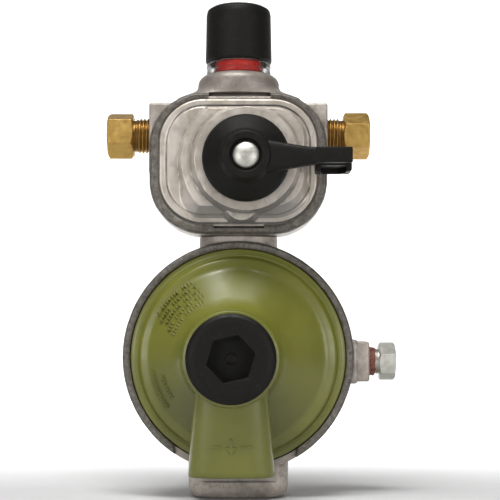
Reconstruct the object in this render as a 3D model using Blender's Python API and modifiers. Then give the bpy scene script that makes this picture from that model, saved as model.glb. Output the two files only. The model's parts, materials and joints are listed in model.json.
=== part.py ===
"""Two-stage automatic changeover regulator for LP gas.

The upper casting is the first stage: two brass inlets, a changeover lever and a sight glass with a
red and green indicator. The lower casting is the second stage: a round diaphragm housing with a
painted bonnet, a vent that points down, a gauge port with a plug and an outlet port.

Frame: +Z up, the front faces -Y. The origin is the centre of the rear mounting pad, on its face.
Sizes are in millimetres. "Depth" is the distance forward of the rear pad, so depth 33 is y = -33.
"""

from math import atan2, cos, hypot, pi, sin, sqrt, tau

import bmesh
import bpy
from mathutils import Matrix, Vector

MM = 0.001
GAP = 0.3  # clearance between pieces that touch

# ---- driving dimensions ------------------------------------------------------------------------

FLOW_DEPTH = 16.0  # depth of the inlet, indicator, transfer and outlet axes

# first stage casting
RIM_FRONT = 33.0
RIM_BACK = 9.0
RIM_WIDTH, RIM_TOP, RIM_BOTTOM, RIM_CORNER = 68.2, 26.6, -28.0, 20.6
LIP_FLOOR = 32.0
LEDGE = 29.0
CHAMBER_FLOOR = 24.0
BLOCK_HALF_WIDTH = 34.6
BLOCK_TOP, BLOCK_BOTTOM = 23.5, -4.0
BLOCK_BACK, BLOCK_FRONT = 4.0, 27.5
PAD_HALF_WIDTH, PAD_HALF_HEIGHT = 15.0, 9.0
POCKET_HALF_WIDTH, POCKET_LOW, POCKET_HIGH, POCKET_FLOOR = 15.0, 6.5, 18.5, 9.5
STAGE_JOINT = -28.3  # height of the face where the first stage sits on the second

# first stage cover and the changeover lever on it
COVER_WIDTH, COVER_HEIGHT, COVER_CORNER = 62.4, 49.8, 17.9
KNOB_X, KNOB_Z = 3.0, -0.3
COVER_BOSS_RADIUS, COVER_BOSS_FRONT, COVER_BOSS_INSIDE = 18.4, 42.0, 39.4
BULGE_X, BULGE_Z, BULGE_RADIUS, BULGE_FRONT = 1.3, -17.1, 6.8, 38.4
KNOB_BASE_RADIUS, KNOB_BASE_BACK = 16.4, 42.4
HUB_RADIUS, HUB_FRONT = 9.4, 53.0
SPINDLE_RADIUS, SPINDLE_HEAD_RADIUS = 3.0, 4.9
LEVER_REACH, PADDLE_START, PADDLE_HALF_THICK, PADDLE_BACK = 39.2, 25.8, 2.9, 36.6

# inlets
INLET_Z = 12.0
SEAT_X, POPPET_BORE_END, THREAD_START = 20.0, 28.4, 28.8
FITTING_HEX_START, FITTING_END, FITTING_HEX = 41.3, 51.4, 15.88
PIPE_THREAD_RADIUS = 6.9
INLET_BORE_RADIUS, INLET_BORE_DEPTH = 4.8, 8.0
FITTING_TURN = pi / 6 - 0.12  # the corners are near the top and bottom, as the fittings stopped
CRANK_PIVOT = (11.0, 20.0)  # x and depth
CRANK_TIP = (3.6, 26.5)
CRANK_FOOT = (12.5, 15.2)

# sight glass
COLLAR_TOP, COLLAR_RADIUS = 35.7, 15.7
COLLAR_FLARE = ((23.0, 24.4), (26.6, 24.0), (27.7, 20.9), (28.8, 18.0), (30.4, 16.0))  # z, half width
LENS_RADIUS, LENS_BORE, LENS_TOP = 12.7, 9.8, 58.0
CAP_RADIUS, CAP_LOW, CAP_TOP = 13.1, 40.8, 63.2

# second stage casting
STAGE2_Z = -74.5
RING_RADIUS, RING_FRONT, RING_BACK = 44.0, 30.4, 23.5
BOWL_RADIUS, BOWL_BACK, BOWL_FLOOR = 39.4, 4.0, 9.0
BONNET_RADIUS = 41.0
NECK_HALF_WIDTH, NECK_HALF_DEPTH = 14.9, 13.2
OUTLET_FACE, OUTLET_BORE = -128.0, 8.0
OUTLET_HALF_WIDTH, OUTLET_HALF_DEPTH = 19.2, 13.2
PORT_FACE, PORT_Z, PORT_HALF_HEIGHT, PORT_THREAD_RADIUS = 50.6, -76.6, 7.7, 5.2
PLUG_HEX, PLUG_TURN = 12.8, pi / 6 - 0.14

# second stage bonnet, its tower and vent
TOWER_X, TOWER_Z = -2.3, -74.8
TOWER_RADIUS, TOWER_BORE, TOWER_FRONT = 17.5, 13.4, 58.5
VENT_MOUTH, VENT_TOP = -117.9, -84.0
CLOSING_CAP_RADIUS, CLOSING_CAP_FRONT = 16.3, 62.0
CAP_PLUG_RADIUS, CAP_PLUG_BACK = 11.6, 53.0  # the plug that reaches into the tower
CAP_SOCKET_HEX, CAP_SOCKET_FLOOR, CAP_SOCKET_TURN = 15.3, 55.5, -0.30

# second stage valve train
DIAPHRAGM_BACK, DIAPHRAGM_FRONT = 26.3, 27.1
FULCRUM = (12.0, -56.5)  # depth and z
LEVER_2_TIP, LEVER_2_KNEE = (15.4, -78.6), (15.4, -68.5)
LEVER_2_FOOT = (16.0, -55.2)
STEM_FOOT_RADIUS = 2.6


# ---- building blocks ---------------------------------------------------------------------------

for stale in list(bpy.data.objects):
    bpy.data.objects.remove(stale)

part = bpy.data.collections.new("propane_changeover_regulator")
helpers = bpy.data.collections.new("cutters")
for made in (part, helpers):
    bpy.context.scene.collection.children.link(made)

# Local Z of a piece points along the named direction; FRONT is towards -Y.
DIRECTIONS = {
    "UP": Matrix.Identity(3),
    "FRONT": Matrix(((1, 0, 0), (0, 0, -1), (0, 1, 0))),
    "RIGHT": Matrix(((0, 0, 1), (0, 1, 0), (-1, 0, 0))),
    "LEFT": Matrix(((0, 0, -1), (0, 1, 0), (1, 0, 0))),
    # Outlines drawn as (x, depth), thickness along Z; and as (depth, z), thickness along X.
    "PLAN": Matrix(((1, 0, 0), (0, -1, 0), (0, 0, -1))),
    "SIDE": Matrix(((0, 0, -1), (-1, 0, 0), (0, 1, 0))),
}


def axis_point(direction, at):
    """World place of the axis. FRONT takes (x, z), UP takes (x, depth), RIGHT and LEFT (depth, z)."""
    a, b = at
    if direction == "FRONT":
        return Vector((a, 0, b)) * MM
    if direction == "UP":
        return Vector((a, -b, 0)) * MM
    return Vector((0, -a, b)) * MM


def add(name, mesh, direction="UP", place=(0, 0, 0), collection=part):
    obj = bpy.data.objects.new(name, mesh)
    obj.matrix_world = Matrix.Translation(Vector(place)) @ DIRECTIONS[direction].to_4x4()
    collection.objects.link(obj)
    return obj


def orient(profile):
    """The profile in the order that a Screw turns into a surface facing out."""
    twice_area = sum(
        a[0] * b[1] - b[0] * a[1] for a, b in zip(profile, profile[1:] + profile[:1])
    )
    return profile if twice_area < 0 else profile[::-1]


def turned(name, profile, direction, at, steps=40):
    """A turned piece from (radius, height) points. It is solid where its ends lie on the axis."""
    on_axis = profile[0][0] == 0 and profile[-1][0] == 0
    points = orient(list(profile))
    mesh = bpy.data.meshes.new(name)
    edges = [(i, i + 1) for i in range(len(points) - 1)]
    if not on_axis:
        edges.append((len(points) - 1, 0))
    mesh.from_pydata([(r * MM, 0, h * MM) for r, h in points], edges, [])
    obj = add(name, mesh, direction, axis_point(direction, at))
    screw = obj.modifiers.new("turn", "SCREW")
    screw.steps = screw.render_steps = steps
    screw.use_merge_vertices = True
    screw.merge_threshold = 0.00001
    return obj


def cylinder(name, radius, low, high, direction, at, steps=24, phase=0.0, top_radius=None):
    """A cylinder, or a prism when steps is small, between two heights on an axis."""
    mesh = bpy.data.meshes.new(name)
    bm = bmesh.new()
    bmesh.ops.create_cone(
        bm,
        cap_ends=True,
        segments=steps,
        radius1=radius * MM,
        radius2=(radius if top_radius is None else top_radius) * MM,
        depth=(high - low) * MM,
        matrix=Matrix.Translation((0, 0, (low + high) / 2 * MM)) @ Matrix.Rotation(phase, 4, "Z"),
    )
    bm.to_mesh(mesh)
    bm.free()
    return add(name, mesh, direction, axis_point(direction, at))


def hexagon(name, across_flats, low, high, direction, at, phase=0.0):
    return cylinder(name, across_flats / sqrt(3), low, high, direction, at, 6, phase)


def box(name, x, depth, z, bevel=0.0):
    """A box from its spans in x, depth and z."""
    mesh = bpy.data.meshes.new(name)
    bm = bmesh.new()
    size = Vector((x[1] - x[0], depth[1] - depth[0], z[1] - z[0])) * MM
    middle = Vector((x[0] + x[1], -depth[0] - depth[1], z[0] + z[1])) * MM / 2
    bmesh.ops.create_cube(bm, matrix=Matrix.Translation(middle) @ Matrix.Diagonal((*size, 1)))
    bm.to_mesh(mesh)
    bm.free()
    obj = add(name, mesh)
    if bevel:
        soften(obj, bevel, 1)
    return obj


def soften(obj, width, segments=2, angle=0.6):
    bevel = obj.modifiers.new("soften", "BEVEL")
    bevel.width = width * MM
    bevel.segments = segments
    bevel.limit_method = "ANGLE"
    bevel.angle_limit = angle
    return obj


def to_mesh(obj):
    """The object with its modifiers applied, or its curve made a welded mesh."""
    graph = bpy.context.evaluated_depsgraph_get()
    mesh = bpy.data.meshes.new_from_object(obj.evaluated_get(graph))
    bm = bmesh.new()
    bm.from_mesh(mesh)
    bmesh.ops.remove_doubles(bm, verts=bm.verts, dist=0.000005)
    bm.to_mesh(mesh)
    bm.free()
    name, matrix = obj.name, obj.matrix_world.copy()
    bpy.data.objects.remove(obj)
    made = bpy.data.objects.new(name, mesh)
    made.matrix_world = matrix
    part.objects.link(made)
    return made


def plate(name, outline, low, high, direction, holes=()):
    """A flat outline with thickness from low to high along its direction."""
    curve = bpy.data.curves.new(name, "CURVE")
    curve.dimensions = "2D"
    curve.fill_mode = "BOTH"
    curve.extrude = (high - low) / 2 * MM
    for loop in (outline, *holes):
        spline = curve.splines.new("POLY")
        spline.use_cyclic_u = True
        spline.points.add(len(loop) - 1)
        for point, (a, b) in zip(spline.points, loop):
            point.co = (a * MM, b * MM, 0, 1)
    middle = (low + high) / 2 * MM
    place = {"FRONT": (0, -middle, 0), "PLAN": (0, 0, middle), "SIDE": (middle, 0, 0)}[direction]
    obj = add(name, curve, direction, place)
    bpy.context.view_layer.update()
    return to_mesh(obj)


def loft(name, rings):
    """A solid through rings of (x, depth, z) points that all have the same count."""
    count = len(rings[0])
    vertices = [(x * MM, -d * MM, z * MM) for ring in rings for x, d, z in ring]
    faces = [tuple(range(count)), tuple(range(len(vertices) - count, len(vertices)))]
    for start in range(0, len(vertices) - count, count):
        for i in range(count):
            j = (i + 1) % count
            faces.append((start + i, start + j, start + count + j, start + count + i))
    mesh = bpy.data.meshes.new(name)
    mesh.from_pydata(vertices, [], faces)
    bm = bmesh.new()
    bm.from_mesh(mesh)
    bmesh.ops.recalc_face_normals(bm, faces=bm.faces)
    bm.to_mesh(mesh)
    bm.free()
    return add(name, mesh)


def combine(target, tools, operation):
    for tool in tools:
        modifier = target.modifiers.new(tool.name, "BOOLEAN")
        modifier.object = tool
        modifier.operation = operation
        part.objects.unlink(tool)
        helpers.objects.link(tool)
        tool.hide_render = True
        tool.display_type = "WIRE"
    return target


def join(target, *tools):
    return combine(target, tools, "UNION")


def cut(target, *tools):
    return combine(target, tools, "DIFFERENCE")


def coil(name, radius, wire, low, high, turns, direction, at, per_turn=8):
    """A compression spring whose wire stays between low and high."""
    curve = bpy.data.curves.new(name, "CURVE")
    curve.dimensions = "3D"
    curve.bevel_depth = wire / 2 * MM
    curve.bevel_resolution = 2
    curve.use_fill_caps = True
    spline = curve.splines.new("POLY")
    count = int(turns * per_turn)
    spline.points.add(count)
    start, rise = low + wire / 2, high - low - wire
    for i, point in enumerate(spline.points):
        angle = tau * i / per_turn
        height = start + rise * i / count
        point.co = (radius * cos(angle) * MM, radius * sin(angle) * MM, height * MM, 1)
    return add(name, curve, direction, axis_point(direction, at))


def circle(a, b, radius, count=12):
    return [(a + radius * cos(tau * i / count), b + radius * sin(tau * i / count)) for i in range(count)]


def rounded_rectangle(width, height, corner, per_corner=5):
    points = []
    for k, (sa, sb) in enumerate(((1, 1), (-1, 1), (-1, -1), (1, -1))):
        ca, cb = sa * (width / 2 - corner), sb * (height / 2 - corner)
        for i in range(per_corner):
            angle = pi / 2 * (k + i / (per_corner - 1))
            points.append((ca + corner * cos(angle), cb + corner * sin(angle)))
    return points


def stroke(points, half_width, cap_steps=4):
    """The outline of a bent bar with round ends that follows the points."""

    def side(path):
        offset = []
        for i, (a, b) in enumerate(path):
            before, after = path[max(i - 1, 0)], path[min(i + 1, len(path) - 1)]
            heading = atan2(after[1] - before[1], after[0] - before[0])
            offset.append((a + half_width * sin(heading), b - half_width * cos(heading)))
        return offset

    def cap(end, before):
        heading = atan2(end[1] - before[1], end[0] - before[0])
        turns = [heading - pi / 2 + pi * i / cap_steps for i in range(1, cap_steps)]
        return [(end[0] + half_width * cos(t), end[1] + half_width * sin(t)) for t in turns]

    back = points[::-1]
    return side(points) + cap(points[-1], points[-2]) + side(back) + cap(points[0], points[1])


def boxed_radius(angle, width, height, corner, x, z):
    """Distance from (x, z) to a rounded rectangle centred on the origin, along an angle."""
    near, far = 0.0, width
    for _ in range(40):
        reach = (near + far) / 2
        a = abs(x + reach * cos(angle)) - (width / 2 - corner)
        b = abs(z + reach * sin(angle)) - (height / 2 - corner)
        outside = hypot(max(a, 0), max(b, 0)) + min(max(a, b), 0) > corner
        near, far = (near, reach) if outside else (reach, far)
    return near


def put_origin(obj, x, depth, z):
    """Moves the piece's own origin to a point, and leaves its shape where it is."""
    point = Vector((x, -depth, z)) * MM
    local = obj.matrix_world.inverted() @ point
    obj.data.transform(Matrix.Translation(-local))
    obj.matrix_world = obj.matrix_world @ Matrix.Translation(local)


def paint(names, colour, roughness, metallic=0.0, alpha=1.0):
    """One Principled material for the named pieces."""
    for name in names:
        obj = bpy.data.objects[name]
        material = bpy.data.materials.new(name)
        material.use_nodes = True
        shader = material.node_tree.nodes["Principled BSDF"]
        shader.inputs["Base Color"].default_value = (*colour, 1)
        shader.inputs["Roughness"].default_value = roughness
        shader.inputs["Metallic"].default_value = metallic
        shader.inputs["Alpha"].default_value = alpha
        obj.data.materials.clear()
        obj.data.materials.append(material)
        if obj.type == "MESH":
            obj.data.shade_smooth()
            obj.data.set_sharp_from_angle(angle=0.6)


# ---- first stage casting -----------------------------------------------------------------------

SIDES = (("left", "LEFT", -1), ("right", "RIGHT", 1))


def first_stage_body():
    rim = rounded_rectangle(RIM_WIDTH, RIM_TOP - RIM_BOTTOM, RIM_CORNER)
    rim = [(a, b + (RIM_TOP + RIM_BOTTOM) / 2) for a, b in rim]
    body = plate("first_stage_body", rim, RIM_BACK, RIM_FRONT, "FRONT")
    block = box(
        "inlet_block",
        (-BLOCK_HALF_WIDTH, BLOCK_HALF_WIDTH),
        (BLOCK_BACK, BLOCK_FRONT),
        (BLOCK_BOTTOM, BLOCK_TOP),
        bevel=1.0,
    )
    collar_profile = [
        (0, 20),
        (COLLAR_RADIUS, 20),
        (COLLAR_RADIUS, 30.0),
        (COLLAR_RADIUS - 0.7, 32.4),
        (COLLAR_RADIUS - 1.6, 34.8),
        (COLLAR_RADIUS - 2.6, COLLAR_TOP),
        (0, COLLAR_TOP),
    ]
    collar = turned("collar", collar_profile, "UP", (0, FLOW_DEPTH), 24)
    flare_rings = []
    for z, half_width in COLLAR_FLARE:
        outline = superellipse(0, FLOW_DEPTH, half_width, COLLAR_RADIUS - 0.7, 2.0, 24)
        flare_rings.append([(x, depth, z) for x, depth in outline])
    flare = loft("collar_flare", flare_rings)
    pad = box(
        "mounting_pad",
        (-PAD_HALF_WIDTH, PAD_HALF_WIDTH),
        (0, RIM_BACK + 2),
        (-PAD_HALF_HEIGHT, PAD_HALF_HEIGHT),
        bevel=0.8,
    )
    foot = cylinder("foot", 13.8, STAGE_JOINT, -18, "UP", (0, FLOW_DEPTH), 20)
    join(body, block, collar, flare, pad, foot)

    recess = rounded_rectangle(COVER_WIDTH + 0.7, COVER_HEIGHT + 0.7, COVER_CORNER + 0.35)
    lip = rounded_rectangle(COVER_WIDTH - 1.2, COVER_HEIGHT - 1.2, COVER_CORNER - 0.6)
    chamber = rounded_rectangle(56.4, 43.6, 15)
    cut(
        body,
        plate("lip_opening", lip, LIP_FLOOR - 1, RIM_FRONT + 1, "FRONT"),
        plate("cover_recess", recess, LEDGE, LIP_FLOOR, "FRONT"),
        plate("chamber", chamber, CHAMBER_FLOOR, LEDGE + 1, "FRONT"),
        box(
            "crank_pocket",
            (-POCKET_HALF_WIDTH, POCKET_HALF_WIDTH),
            (POCKET_FLOOR, CHAMBER_FLOOR + 1),
            (POCKET_LOW, POCKET_HIGH),
        ),
        cylinder("outlet_pocket", 4.5, 12, CHAMBER_FLOOR + 1, "FRONT", (0, -16.5), 12),
        cylinder("transfer_passage", 2.5, -24, -16, "UP", (0, FLOW_DEPTH), 10),
        cylinder("nipple_bore", 6.0, STAGE_JOINT - 1, -21.5, "UP", (0, FLOW_DEPTH), 16),
        cylinder("sense_passage", 2.3, 17, 29, "UP", (0, FLOW_DEPTH), 10),
        cylinder("lens_bore", 11.1, 27.6, COLLAR_TOP + 1, "UP", (0, FLOW_DEPTH), 24),
        cylinder("stem_bore", 3.2, -SEAT_X - 1, SEAT_X + 1, "RIGHT", (FLOW_DEPTH, INLET_Z), 10),
    )
    for side, direction, sign in SIDES:
        at = (FLOW_DEPTH, INLET_Z)
        cut(
            body,
            cylinder(f"poppet_bore_{side}", 5.6, SEAT_X, THREAD_START, direction, at, 14),
            cylinder(f"thread_bore_{side}", 7.2, POPPET_BORE_END, BLOCK_HALF_WIDTH + 1, direction, at, 20),
            cylinder(f"pin_bore_{side}", 1.2, 2.5, 22, "UP", (sign * CRANK_PIVOT[0], CRANK_PIVOT[1]), 8),
        )
    return body


# ---- first stage cover -------------------------------------------------------------------------

COVER_POINTS = 40


def cover_ring(depth, inset, radius):
    """A contour of the cover: its outline pulled in by inset, cut by a circle round the lever axis."""
    ring = []
    for i in range(COVER_POINTS):
        angle = tau * i / COVER_POINTS
        width, height = COVER_WIDTH - 2 * inset, COVER_HEIGHT - 2 * inset
        reach = boxed_radius(angle, width, height, COVER_CORNER - inset, KNOB_X, KNOB_Z)
        reach = min(reach, radius)
        ring.append((KNOB_X + reach * cos(angle), depth, KNOB_Z + reach * sin(angle)))
    return ring


def first_stage_cover():
    flange_back = LEDGE + 1.2
    outside = [
        cover_ring(flange_back, 0, 99),
        cover_ring(LIP_FLOOR - GAP, 0, 99),
        cover_ring(LIP_FLOOR - GAP, 1.0, 99),
        cover_ring(33.0, 1.2, 99),
        cover_ring(33.2, 4.4, 99),
        cover_ring(35.0, 5.2, 99),
        cover_ring(35.6, 6.4, 27),
        cover_ring(37.0, 7.0, 24.4),
        cover_ring(37.8, 7.4, 23.4),
        cover_ring(41.4, 7.8, COVER_BOSS_RADIUS + 0.5),
        cover_ring(COVER_BOSS_FRONT, 8, COVER_BOSS_RADIUS),
    ]
    cover = loft("first_stage_cover", outside)
    bulge = [
        (0, 32.4),
        (BULGE_RADIUS, 32.4),
        (BULGE_RADIUS, 33.6),
        (BULGE_RADIUS - 0.9, 35.2),
        (BULGE_RADIUS - 2.4, 37.6),
        (BULGE_RADIUS - 3.4, BULGE_FRONT),
        (0, BULGE_FRONT),
    ]
    join(cover, turned("breather_bulge", bulge, "FRONT", (BULGE_X, BULGE_Z), 28))
    inside = [
        cover_ring(flange_back - 1, 4.6, 99),
        cover_ring(31.6, 5.4, 99),
        cover_ring(33.4, 7.6, 25),
        cover_ring(35.4, 9.6, 21.5),
        cover_ring(COVER_BOSS_INSIDE, 10.0, COVER_BOSS_RADIUS - 3),
    ]
    cut(
        cover,
        loft("cover_inside", inside),
        cylinder("spindle_hole", SPINDLE_RADIUS + 0.4, 38, 44, "FRONT", (KNOB_X, KNOB_Z), 12),
        cylinder("seal_seat", 5.6, 40.5, 44, "FRONT", (KNOB_X, KNOB_Z), 16),
    )
    return cover


# ---- changeover lever --------------------------------------------------------------------------


def changeover_lever():
    centre = (KNOB_X, KNOB_Z)
    profile = [
        (SPINDLE_RADIUS + GAP, 51.2),
        (5.7, 51.2),
        (5.7, HUB_FRONT),
        (HUB_RADIUS - 0.8, HUB_FRONT),
        (HUB_RADIUS, HUB_FRONT - 0.8),
        (HUB_RADIUS + 0.5, 50.6),
        (13.6, 46.6),
        (KNOB_BASE_RADIUS, 44.4),
        (KNOB_BASE_RADIUS, KNOB_BASE_BACK),
        (13.8, KNOB_BASE_BACK),
        (12.4, 44.6),
        (6.2, 46.4),
        (6.2, KNOB_BASE_BACK + 0.2),
        (SPINDLE_RADIUS + GAP, KNOB_BASE_BACK + 0.2),
    ]
    lever = turned("changeover_lever", profile, "FRONT", centre, 32)
    x, z = centre
    arm_outline = [
        (x + 7.4, z - 6.4),
        (x + 16, z - 4.9),
        (x + PADDLE_START, z - PADDLE_HALF_THICK),
        (x + LEVER_REACH - 1, z - PADDLE_HALF_THICK),
        (x + LEVER_REACH - 0.5, z + PADDLE_HALF_THICK - 0.6),
        (x + PADDLE_START, z + PADDLE_HALF_THICK),
        (x + 16, z + 4.3),
        (x + 7.4, z + 5.6),
    ]
    arm = plate("lever_arm", arm_outline, 46.4, 52.3, "FRONT")
    paddle_outline = [
        (x + PADDLE_START, 52.8),
        (x + LEVER_REACH - 0.8, 52.8),
        (x + LEVER_REACH, 52.0),
        (x + LEVER_REACH, 42.0),
        (x + 35.0, PADDLE_BACK),
        (x + 27.3, PADDLE_BACK),
        (x + PADDLE_START, 42.0),
    ]
    low, high = z - PADDLE_HALF_THICK + 0.02, z + PADDLE_HALF_THICK - 0.02
    paddle = plate("lever_paddle", paddle_outline, low, high, "PLAN")
    join(lever, soften(arm, 0.5, 1), soften(paddle, 0.5, 1))
    return lever


def spindle_and_cam():
    centre = (KNOB_X, KNOB_Z)
    head = SPINDLE_HEAD_RADIUS
    spindle_profile = [
        (0, 53.6),
        (2.6, 53.4),
        (4.2, 52.9),
        (head, 52.1),
        (head, 51.5),
        (SPINDLE_RADIUS, 51.5),
        (SPINDLE_RADIUS, 36.9),
        (0, 36.9),
    ]
    turned("knob_spindle", spindle_profile, "FRONT", centre, 16)
    turned(
        "spindle_seal",
        [(3.35 + 0.9 * (1 + cos(t)), 41.3 + 0.6 * sin(t)) for t in (tau * i / 6 for i in range(6))],
        "FRONT",
        centre,
        14,
    )
    cam = cylinder("changeover_cam", 8.0, 37.6, 39.1, "FRONT", (KNOB_X + 2.0, KNOB_Z), 20)
    put_origin(cam, KNOB_X, 37.6, KNOB_Z)
    cut(cam, cylinder("cam_hole", SPINDLE_RADIUS + 0.4, 37, 40, "FRONT", centre, 12))


# ---- first stage works -------------------------------------------------------------------------


def first_stage_works():
    centre = (KNOB_X, KNOB_Z)
    disc = rounded_rectangle(COVER_WIDTH - 1.4, COVER_HEIGHT - 1.4, COVER_CORNER - 0.7, 5)
    x, z = centre
    plate("first_stage_diaphragm", disc, LEDGE + GAP, LEDGE + 0.9, "FRONT", [circle(x, z, 3.4)])
    plate_profile = [
        (0, 31.4),
        (14.6, 31.4),
        (14.6, 30.3),
        (3.0, 30.3),
        (3.0, 28.8),
        (15.4, 28.8),
        (15.4, 28.0),
        (0, 28.0),
    ]
    turned("first_stage_plate", plate_profile, "FRONT", centre, 18)
    turned(
        "first_stage_spring_seat",
        [(3.6, 37.3), (8.4, 37.3), (8.4, 36.3), (5.4, 36.3), (5.4, 35.2), (3.6, 35.2)],
        "FRONT",
        centre,
        16,
    )
    coil("first_stage_spring", 6.9, 1.1, 31.7, 36.0, 2, "FRONT", centre)
    for side, direction, sign in SIDES:
        at = (FLOW_DEPTH, INLET_Z)
        path = [(sign * a, b) for a, b in (CRANK_TIP, CRANK_PIVOT, CRANK_FOOT)]
        crank = plate(f"rocker_{side}", stroke(path, 1.2), INLET_Z - 1.4, INLET_Z + 1.4, "PLAN")
        pivot = (sign * CRANK_PIVOT[0], CRANK_PIVOT[1])
        put_origin(crank, *pivot, INLET_Z)
        join(crank, cylinder(f"rocker_hub_{side}", 2.3, INLET_Z - 1.7, INLET_Z + 1.7, "UP", pivot, 14))
        cut(crank, cylinder(f"rocker_hole_{side}", 1.25, INLET_Z - 3, INLET_Z + 3, "UP", pivot, 10))
        cylinder(f"rocker_pin_{side}", 0.9, 3, 21.5, "UP", pivot, 10)
        stem = 14.2
        poppet = [
            (0, stem),
            (1.3, stem),
            (1.3, SEAT_X + 0.9),
            (4.6, SEAT_X + 0.9),
            (4.6, SEAT_X + 2.3),
            (2.0, SEAT_X + 2.3),
            (2.0, SEAT_X + 3.6),
            (0, SEAT_X + 3.6),
        ]
        turned(f"inlet_poppet_{side}", poppet, direction, at, 16)
        coil(f"poppet_spring_{side}", 3.3, 0.7, SEAT_X + 2.7, THREAD_START - 0.3, 3, direction, at)


def inlet_fitting(side, direction):
    """Brass fitting: pipe thread into the casting, inverted flare socket in its hexagon."""
    at = (FLOW_DEPTH, INLET_Z)
    r, root = PIPE_THREAD_RADIUS, PIPE_THREAD_RADIUS - 0.75
    corner = FITTING_HEX / sqrt(3)
    ridges = [(root + 0.05, BLOCK_HALF_WIDTH + 0.3)]
    pitch = 1.42
    for k in range(4):
        start = BLOCK_HALF_WIDTH + 0.55 + k * pitch
        ridges += [(r, start + 0.45), (root, start + 0.95)]
    profile = [
        (3.4, THREAD_START),
        (r - 0.1, THREAD_START),
        (r - 0.1, BLOCK_HALF_WIDTH),
        *ridges,
        (root, FITTING_HEX_START - 0.1),
        (corner - 1.2, FITTING_HEX_START),
        (corner + 1, FITTING_HEX_START + 1.2),
        (corner + 1, FITTING_END - 0.9),
        (corner - 1.0, FITTING_END),
        (INLET_BORE_RADIUS, FITTING_END),
        (INLET_BORE_RADIUS, FITTING_END - INLET_BORE_DEPTH),
        (3.4, FITTING_END - INLET_BORE_DEPTH + 1.6),
    ]
    fitting = turned(f"inlet_fitting_{side}", profile, direction, at, 18)
    hex_start, end = FITTING_HEX_START - 0.6, FITTING_END + 1
    flats = hexagon(
        f"fitting_flats_{side}", FITTING_HEX, hex_start, end, direction, at, FITTING_TURN
    )
    shank_end = FITTING_HEX_START - 0.05
    join(flats, cylinder(f"fitting_shank_{side}", 8.2, THREAD_START - 1, shank_end, direction, at, 12))
    combine(fitting, [flats], "INTERSECT")
    turned(
        f"inlet_filter_{side}",
        [(0, 33.0), (3.0, 33.0), (3.0, 36.0), (1.6, 36.0), (1.6, 34.2), (0, 34.2)],
        direction,
        at,
        12,
    )


# ---- sight glass and indicator -----------------------------------------------------------------


def sight_glass():
    at = (0, FLOW_DEPTH)
    lens = [
        (0, LENS_TOP),
        (8, LENS_TOP),
        (11.2, LENS_TOP - 2),
        (11.3, CAP_LOW - GAP),
        (LENS_RADIUS - 0.2, CAP_LOW - GAP),
        (LENS_RADIUS, CAP_LOW - 0.5),
        (LENS_RADIUS, 38.6),
        (LENS_RADIUS - 0.5, 38.2),
        (LENS_RADIUS, 37.8),
        (LENS_RADIUS, COLLAR_TOP + GAP),
        (10.7, COLLAR_TOP + GAP),
        (10.7, 28.0),
        (LENS_BORE, 28.0),
        (LENS_BORE, LENS_TOP - 3),
        (7, LENS_TOP - 1.6),
        (0, LENS_TOP - 1.6),
    ]
    turned("indicator_lens", lens, "UP", at, 24)
    cap = [
        (0, CAP_TOP),
        (10.6, CAP_TOP),
        (12.2, CAP_TOP - 0.6),
        (CAP_RADIUS - 0.3, CAP_TOP - 2.4),
        (CAP_RADIUS, CAP_LOW + 0.8),
        (CAP_RADIUS - 0.4, CAP_LOW),
        (11.8, CAP_LOW),
        (11.7, CAP_TOP - 4.0),
        (0, CAP_TOP - 4.0),
    ]
    turned("indicator_cap", cap, "UP", at, 28)
    piston = [
        (0, 42.4),
        (6.8, 42.4),
        (6.8, 41.8),
        (8.9, 41.8),
        (8.9, 41.3),
        (3.4, 41.3),
        (3.4, 28.4),
        (1.7, 28.4),
        (1.7, 19.6),
        (0, 19.6),
    ]
    turned("indicator_piston", piston, "UP", at, 16)
    for colour, low, high in (("red", 34.9, 41.0), ("green", 28.6, 34.6)):
        band = [(3.7, low), (9.3, low), (9.3, high), (3.7, high)]
        turned(f"indicator_{colour}_band", band, "UP", at, 20)
    coil("indicator_spring", 5.4, 0.8, 42.7, LENS_TOP - 2, 3, "UP", at)


# ---- second stage casting ----------------------------------------------------------------------


def superellipse(a, b, half_a, half_b, power, count):
    points = []
    for i in range(count):
        c, s = cos(tau * i / count), sin(tau * i / count)
        along = half_a * abs(c) ** (2 / power) * (1 if c > 0 else -1)
        across = half_b * abs(s) ** (2 / power) * (1 if s > 0 else -1)
        points.append((a + along, b + across))
    return points


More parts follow.
